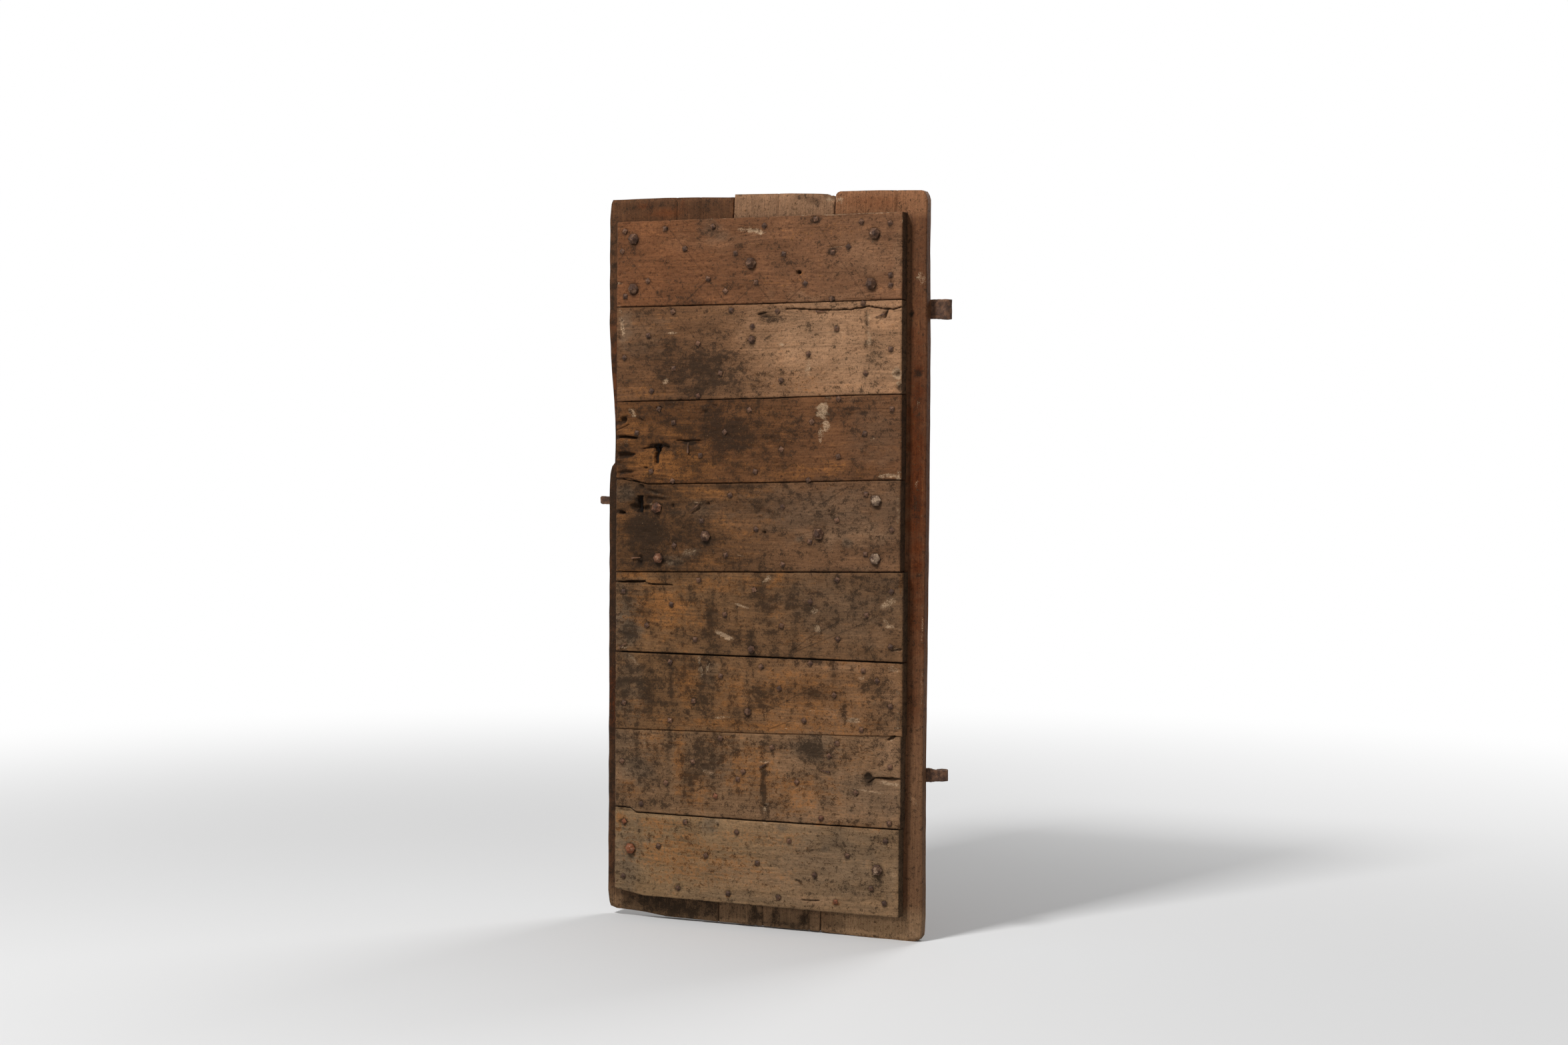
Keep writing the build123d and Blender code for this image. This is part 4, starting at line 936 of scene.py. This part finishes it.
class Nodes:
    """Short way to build the nodes of a material or the world."""

    def __init__(self, owner):
        self.owner = owner
        self.owner.use_nodes = True
        self.tree = self.owner.node_tree
        self.tree.nodes.clear()

    def add(self, kind, **settings):
        made = self.tree.nodes.new(kind)
        for key, value in settings.items():
            setattr(made, key, value)
        return made

    def put(self, target, value):
        if isinstance(value, bpy.types.NodeSocket):
            self.tree.links.new(value, target)
        else:
            target.default_value = value

    def attribute(self, name, output):
        return self.add("ShaderNodeAttribute", attribute_name=name).outputs[output]

    def math(self, operation, *values):
        made = self.add("ShaderNodeMath", operation=operation)
        for target, value in zip(made.inputs, values):
            self.put(target, value)
        return made.outputs[0]

    def total(self, base, *shares):
        """Base plus each value's distance from a half, times its weight."""
        for value, weight in shares:
            share = self.math("MULTIPLY", self.math("SUBTRACT", value, 0.5), weight)
            base = self.math("ADD", base, share)
        return base

    def scaled(self, vector, sizes):
        """Vector times a size for each axis."""
        made = self.add("ShaderNodeVectorMath", operation="MULTIPLY")
        self.put(made.inputs[0], vector)
        self.put(made.inputs[1], sizes)
        return made.outputs[0]

    def spun(self, vector, degrees):
        """Vector turned in the plane of the board's face."""
        made = self.add("ShaderNodeVectorRotate", rotation_type="Z_AXIS")
        self.put(made.inputs["Vector"], vector)
        made.inputs["Angle"].default_value = math.radians(degrees)
        return made.outputs[0]

    def noise(self, vector, scale, detail=3.0, roughness=0.55):
        made = self.add("ShaderNodeTexNoise")
        self.put(made.inputs["Vector"], vector)
        made.inputs["Scale"].default_value = scale
        made.inputs["Detail"].default_value = detail
        made.inputs["Roughness"].default_value = roughness
        return made.outputs["Fac"]

    def step(self, low, high, value):
        made = self.add("ShaderNodeMapRange", interpolation_type="SMOOTHSTEP")
        self.put(made.inputs["Value"], value)
        made.inputs["From Min"].default_value = low
        made.inputs["From Max"].default_value = high
        return made.outputs["Result"]

    def mix(self, amount, first, second, blend="MIX"):
        made = self.add("ShaderNodeMix", data_type="RGBA", blend_type=blend)
        self.put(made.inputs["Factor"], amount)
        self.put(made.inputs[6], first)
        self.put(made.inputs[7], second)
        return made.outputs[2]

    def cover(self, under, mask, strength, over):
        """Colour under, covered by colour over where the mask is."""
        return self.mix(self.math("MULTIPLY", mask, strength), under, over)

    def shade(self, value):
        """Grey of this level."""
        made = self.add("ShaderNodeCombineColor")
        for channel in made.inputs:
            self.put(channel, value)
        return made.outputs[0]

    def bump(self, height, distance, strength, under=None):
        made = self.add("ShaderNodeBump")
        self.put(made.inputs["Height"], height)
        made.inputs["Distance"].default_value = distance
        made.inputs["Strength"].default_value = strength
        if under is not None:
            self.put(made.inputs["Normal"], under)
        return made.outputs["Normal"]

    def surface(self, colour, roughness, normal=None, metallic=0.0, specular=0.35):
        shader = self.add("ShaderNodeBsdfPrincipled")
        self.put(shader.inputs["Base Color"], colour)
        self.put(shader.inputs["Roughness"], roughness)
        shader.inputs["Metallic"].default_value = metallic
        shader.inputs["Specular IOR Level"].default_value = specular
        if normal is not None:
            self.put(shader.inputs["Normal"], normal)
        return shader.outputs["BSDF"]

    def glow(self, kind, level):
        """Even white light of this level, for a material or the world."""
        made = self.add(kind)
        made.inputs["Color"].default_value = WHITE
        made.inputs["Strength"].default_value = level
        return made.outputs[0]

    def backdrop_rays(self):
        """1 for rays that show the backdrop: from the camera, mirrored or through glass."""
        rays = self.add("ShaderNodeLightPath").outputs
        bent = self.math("MAXIMUM", rays["Is Glossy Ray"], rays["Is Transmission Ray"])
        return self.math("MAXIMUM", rays["Is Camera Ray"], bent)

    def either(self, amount, first, second):
        """Shader mixed of two."""
        made = self.add("ShaderNodeMixShader")
        for target, value in zip(made.inputs, (amount, first, second)):
            self.put(target, value)
        return made.outputs[0]

    def finish(self, shader, kind="ShaderNodeOutputMaterial"):
        self.put(self.add(kind).inputs["Surface"], shader)
        return self.owner


def solid(colour):
    """Colour with full opacity."""
    return (*colour, 1.0)


def wood_material():
    """Old softwood: fibres and growth rings under a fine mottle of grime, stains and chips, with
    painted shade in seams, gaps and hollows.
    """
    n = Nodes(bpy.data.materials.new("old_wood"))
    grain = n.attribute("grain", "Vector")
    tone = n.attribute("tone", "Vector")
    stain = n.attribute("stain", "Fac")
    warm = n.attribute("warm", "Fac")
    pale = n.attribute("pale", "Fac")
    dirt_and_shade = n.attribute("dirt_and_shade", "Fac")
    fibre = n.noise(n.scaled(grain, (0.035, 1.0, 1.0)), 1.0, 3.0, 0.65)
    streak = n.noise(n.scaled(grain, (0.008, 0.22, 0.22)), 1.0, 3.0, 0.6)
    broad = n.noise(n.scaled(grain, (0.006, 0.018, 0.018)), 1.0, 2.0)
    mottle = n.noise(grain, 0.10, 4.0, 0.65)
    speck = n.noise(grain, 0.42, 3.0, 0.7)
    patch = n.noise(grain, 0.045, 3.0, 0.6)

    split = n.add("ShaderNodeSeparateXYZ")
    n.put(split.inputs[0], grain)
    sway = n.noise(n.scaled(grain, (0.010, 0.05, 0.05)), 1.0, 2.0)
    across = n.total(split.outputs["Y"], (sway, 26.0))
    inward = n.total(split.outputs["Z"], (sway, 14.0))
    ring = n.math("SQRT", n.math("ADD", n.math("POWER", across, 2.0),
                                 n.math("MULTIPLY", n.math("POWER", inward, 2.0), 2.5)))
    band = n.math("FRACT", n.math("MULTIPLY", ring, 1.0 / 5.2))
    late = n.math("MULTIPLY", n.step(0.35, 0.85, band), n.step(1.0, 0.93, band))
    late = n.math("MULTIPLY", late, n.step(0.35, 0.60, broad))

    light = n.total(1.0, (fibre, 0.8), (streak, 0.9), (mottle, 2.2), (speck, 1.6), (patch, 1.2))
    base = n.mix(1.0, tone, n.shade(light), "MULTIPLY")
    base = n.cover(base, late, 0.22, n.mix(1.0, base, solid((0.50, 0.42, 0.34)), "MULTIPLY"))
    amber = n.step(0.15, 1.05, n.total(warm, (mottle, 2.6), (speck, 1.2), (streak, 1.2)))
    base = n.cover(base, amber, 0.70, n.mix(1.0, solid(ORANGE), n.shade(light), "MULTIPLY"))
    grime = n.step(0.10, 1.0, n.total(stain, (mottle, 2.6), (speck, 2.4), (patch, 2.0)))
    base = n.cover(base, grime, 0.88, solid(BLACK))

    nicks = None
    for turn, shift in ((24.0, 0.0), (-38.0, 90.0), (68.0, 180.0)):
        place = n.add("ShaderNodeVectorMath", operation="ADD")
        n.put(place.inputs[0], n.scaled(n.spun(grain, turn), (0.10, 0.42, 0.42)))
        place.inputs[1].default_value = (shift, shift, 0.0)
        line = n.step(0.72, 0.88, n.noise(place.outputs[0], 1.0, 1.0))
        nicks = line if nicks is None else n.math("MAXIMUM", nicks, line)
    nicks = n.math("MULTIPLY", nicks, n.step(0.12, 0.45, stain))
    base = n.cover(base, nicks, 0.22, n.mix(1.0, solid(TAN), n.shade(light), "MULTIPLY"))

    holes = n.add("ShaderNodeTexVoronoi")
    n.put(holes.inputs["Vector"], grain)
    holes.inputs["Scale"].default_value = 0.085
    worm = n.step(0.15, 0.09, holes.outputs["Distance"])
    chosen = n.step(0.70, 0.72, n.noise(holes.outputs["Position"], 3.1, 0.0))
    worm = n.math("MULTIPLY", worm, chosen)
    # Worm holes painted black: painted shade inside holes that the mesh doesn't cut.
    base = n.cover(base, worm, 0.8, solid(BLACK))

    chip = n.step(0.40, 1.0, n.total(pale, (fibre, 0.8), (speck, 2.4), (mottle, 1.2)))
    base = n.cover(base, chip, 0.74, n.mix(1.0, solid(PALE), n.shade(light), "MULTIPLY"))
    # Blackened by the per-vertex dirt and shade values: painted shade in seams, gaps and hollows,
    # plus the nails' iron stain and dirt in the scratches.
    stain_and_shadow = n.step(0.0, 1.0, n.total(dirt_and_shade, (mottle, 0.8), (speck, 0.5)))
    base = n.cover(base, stain_and_shadow, 0.80, solid(BLACK))

    rough = n.total(0.72, (fibre, 0.4))
    normal = n.bump(late, 0.0004, 0.5)
    normal = n.bump(fibre, 0.0010, 0.6, normal)
    normal = n.bump(speck, 0.0014, 0.6, normal)
    normal = n.bump(mottle, 0.0050, 0.5, normal)
    normal = n.bump(n.math("MAXIMUM", nicks, worm), -0.0006, 0.6, normal)
    return n.finish(n.surface(base, rough, normal, 0.0, 0.10))


def iron_material():
    """Old wrought iron: brown rust with darker scale and paler worn spots."""
    n = Nodes(bpy.data.materials.new("old_iron"))
    place = n.add("ShaderNodeTexCoord").outputs["Object"]
    pale = n.attribute("pale", "Fac")
    rust = n.attribute("rust", "Fac")
    patches = n.noise(place, 70.0, 4.0, 0.6)
    grit = n.noise(place, 420.0, 4.0, 0.7)
    pits = n.noise(place, 1100.0, 2.0, 0.6)
    base = n.mix(n.step(0.40, 0.62, patches), solid(DARK_SCALE), solid(BROWN_SCALE))
    base = n.cover(base, n.step(0.48, 0.72, grit), 0.35, solid(RUBBED_IRON))
    base = n.cover(base, n.step(0.58, 0.70, patches), 0.5, solid(OLD_RUST))
    fresh = n.step(0.3, 0.9, n.total(rust, (patches, 1.4)))
    base = n.cover(base, fresh, 0.60, solid(FRESH_RUST))
    scale = n.step(0.30, 0.95, n.total(pale, (patches, 2.4), (grit, 1.6)))
    base = n.cover(base, scale, 0.75, solid(PALE_SCALE))
    base = n.cover(base, n.step(0.56, 0.70, pits), 0.6, solid(PITTED))
    rough = n.total(0.62, (grit, 0.5))
    normal = n.bump(grit, 0.0008, 0.7)
    normal = n.bump(pits, 0.0003, 0.5, normal)
    return n.finish(n.surface(base, rough, normal, 0.1, 0.25))


def floor_material():
    """Plain pale floor that fades to the white of the studio away from the leaf."""
    n = Nodes(bpy.data.materials.new("pale_floor"))
    place = n.add("ShaderNodeTexCoord").outputs["Object"]
    soft = n.noise(place, 3.0, 2.0)
    base = n.cover(solid((0.76, 0.76, 0.76)), soft, 0.03, solid((0.66, 0.66, 0.66)))
    shader = n.surface(base, 0.9, None, 0.0, 0.2)
    distance = n.add("ShaderNodeVectorMath", operation="LENGTH")
    n.put(distance.inputs[0], place)
    far = n.step(*FLOOR_FADE, distance.outputs["Value"])
    share = n.math("MULTIPLY", far, n.backdrop_rays())
    return n.finish(n.either(share, shader, n.glow("ShaderNodeEmission", 1.0)))


wood = wood_material()
iron = iron_material()


def finish_piece(made, body, node, material):
    """Give a piece its material and body, and hide the CAD node that it stands for."""
    made.data.materials.clear()
    made.data.materials.append(material)
    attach(made, body)
    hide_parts(node)


for row in range(1, FRONT_ROWS + 1):
    board = front_board(row)
    if row == 3:
        cut(board, key_outline(), FRONT - CUT_PAST * MM, MIDDLE + CUT_PAST * MM)
    if row == 4:
        cut(board, slot_outline(), FRONT - CUT_PAST * MM, MIDDLE + CUT_PAST * MM)
    board_attributes(board, row)
    finish_piece(board, "leaf", f"front_board_{row}", wood)

for side in BACK_SIDES:
    board = back_board(side)
    if side == "left":
        cut(board, key_outline(), MIDDLE - CUT_PAST * MM, BACK + CUT_PAST * MM)
        cut(board, slot_outline(), MIDDLE - CUT_PAST * MM, BACK + CUT_PAST * MM)
    back_attributes(board, side)
    finish_piece(board, "leaf", f"back_board_{side}", wood)

for row in range(1, FRONT_ROWS + 1):
    hammered(f"small_nails_{row}", 1.5, 1.3, 40 + row)
hammered("large_nails", 2.4, 0.7, 60, 0.2)
hammered("round_nails", 1.6, 1.2, 61, 0.15)
hammered("bent_nails", 0.5, 0.5, 62)
for node in ("strap_nails_upper", "strap_nails_lower", "lock_nails", "latch_staple", "latch_pivot"):
    hammered(node, 0.5, 0.5, 63)

forged("strap_hinge_upper", 1.8, 1.0, "leaf", 70)
forged("strap_hinge_lower", 1.8, 1.0, "leaf", 72)
forged("latch_bar", 1.4, 0.9, "latch", 74)

# The lock's CAD nodes stay
for node in ("lock_case", "lock_bolt", "lock_guide", "lock_spring"):
    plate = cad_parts[node]
    plate.data.materials.clear()
    plate.data.materials.append(iron)
    weld = plate.modifiers.new("weld", "WELD")
    weld.merge_threshold = MERGE
    bevel = plate.modifiers.new("bevel", "BEVEL")
    bevel.width = 0.5 * MM
    bevel.segments = 2

# Round floor under the leaf
low, high = cad_box
centre = (low + high) / 2
turns = [2 * math.pi * side / FLOOR_SIDES for side in range(FLOOR_SIDES)]
rim = [(FLOOR_RADIUS * math.cos(turn), FLOOR_RADIUS * math.sin(turn), 0.0) for turn in turns]
floor = new_object("floor", np.array(rim), [range(FLOOR_SIDES)])
floor.location = (centre.x, centre.y, low.z)
floor.data.materials.append(floor_material())


def lamp(name, place, target, size, power):
    """Soft square lamp aimed at a point."""
    light = bpy.data.lights.new(name, "AREA")
    light.size = size
    light.energy = power
    made = link(name, light)
    made.location = place
    made.rotation_mode = "QUATERNION"
    made.rotation_quaternion = (Vector(target) - Vector(place)).to_track_quat("-Z", "Y")


for name, (place, size, power) in LAMPS.items():
    lamp(name, place, centre, size, power)

n = Nodes(bpy.data.worlds.new("studio"))
ambient = n.glow("ShaderNodeBackground", AMBIENT)
white = n.glow("ShaderNodeBackground", 1.0)
bpy.context.scene.world = n.finish(n.either(n.backdrop_rays(), ambient, white),
                                   "ShaderNodeOutputWorld")

camera_data = bpy.data.cameras.new("camera")
camera_data.lens = 55.0
camera_data.sensor_width = 36.0
camera_data.sensor_fit = "HORIZONTAL"
camera = link("camera", camera_data)
camera.location = CAMERA_PLACE
turn = Matrix.Rotation(math.radians(CAMERA_YAW), 4, "Z")
turn = turn @ Matrix.Rotation(math.radians(90.0 + CAMERA_PITCH), 4, "X")
turn = turn @ Matrix.Rotation(math.radians(CAMERA_ROLL), 4, "Z")
camera.rotation_mode = "QUATERNION"
camera.rotation_quaternion = turn.to_quaternion()
bpy.context.scene.camera = camera
bpy.context.scene.view_settings.view_transform = "Standard"
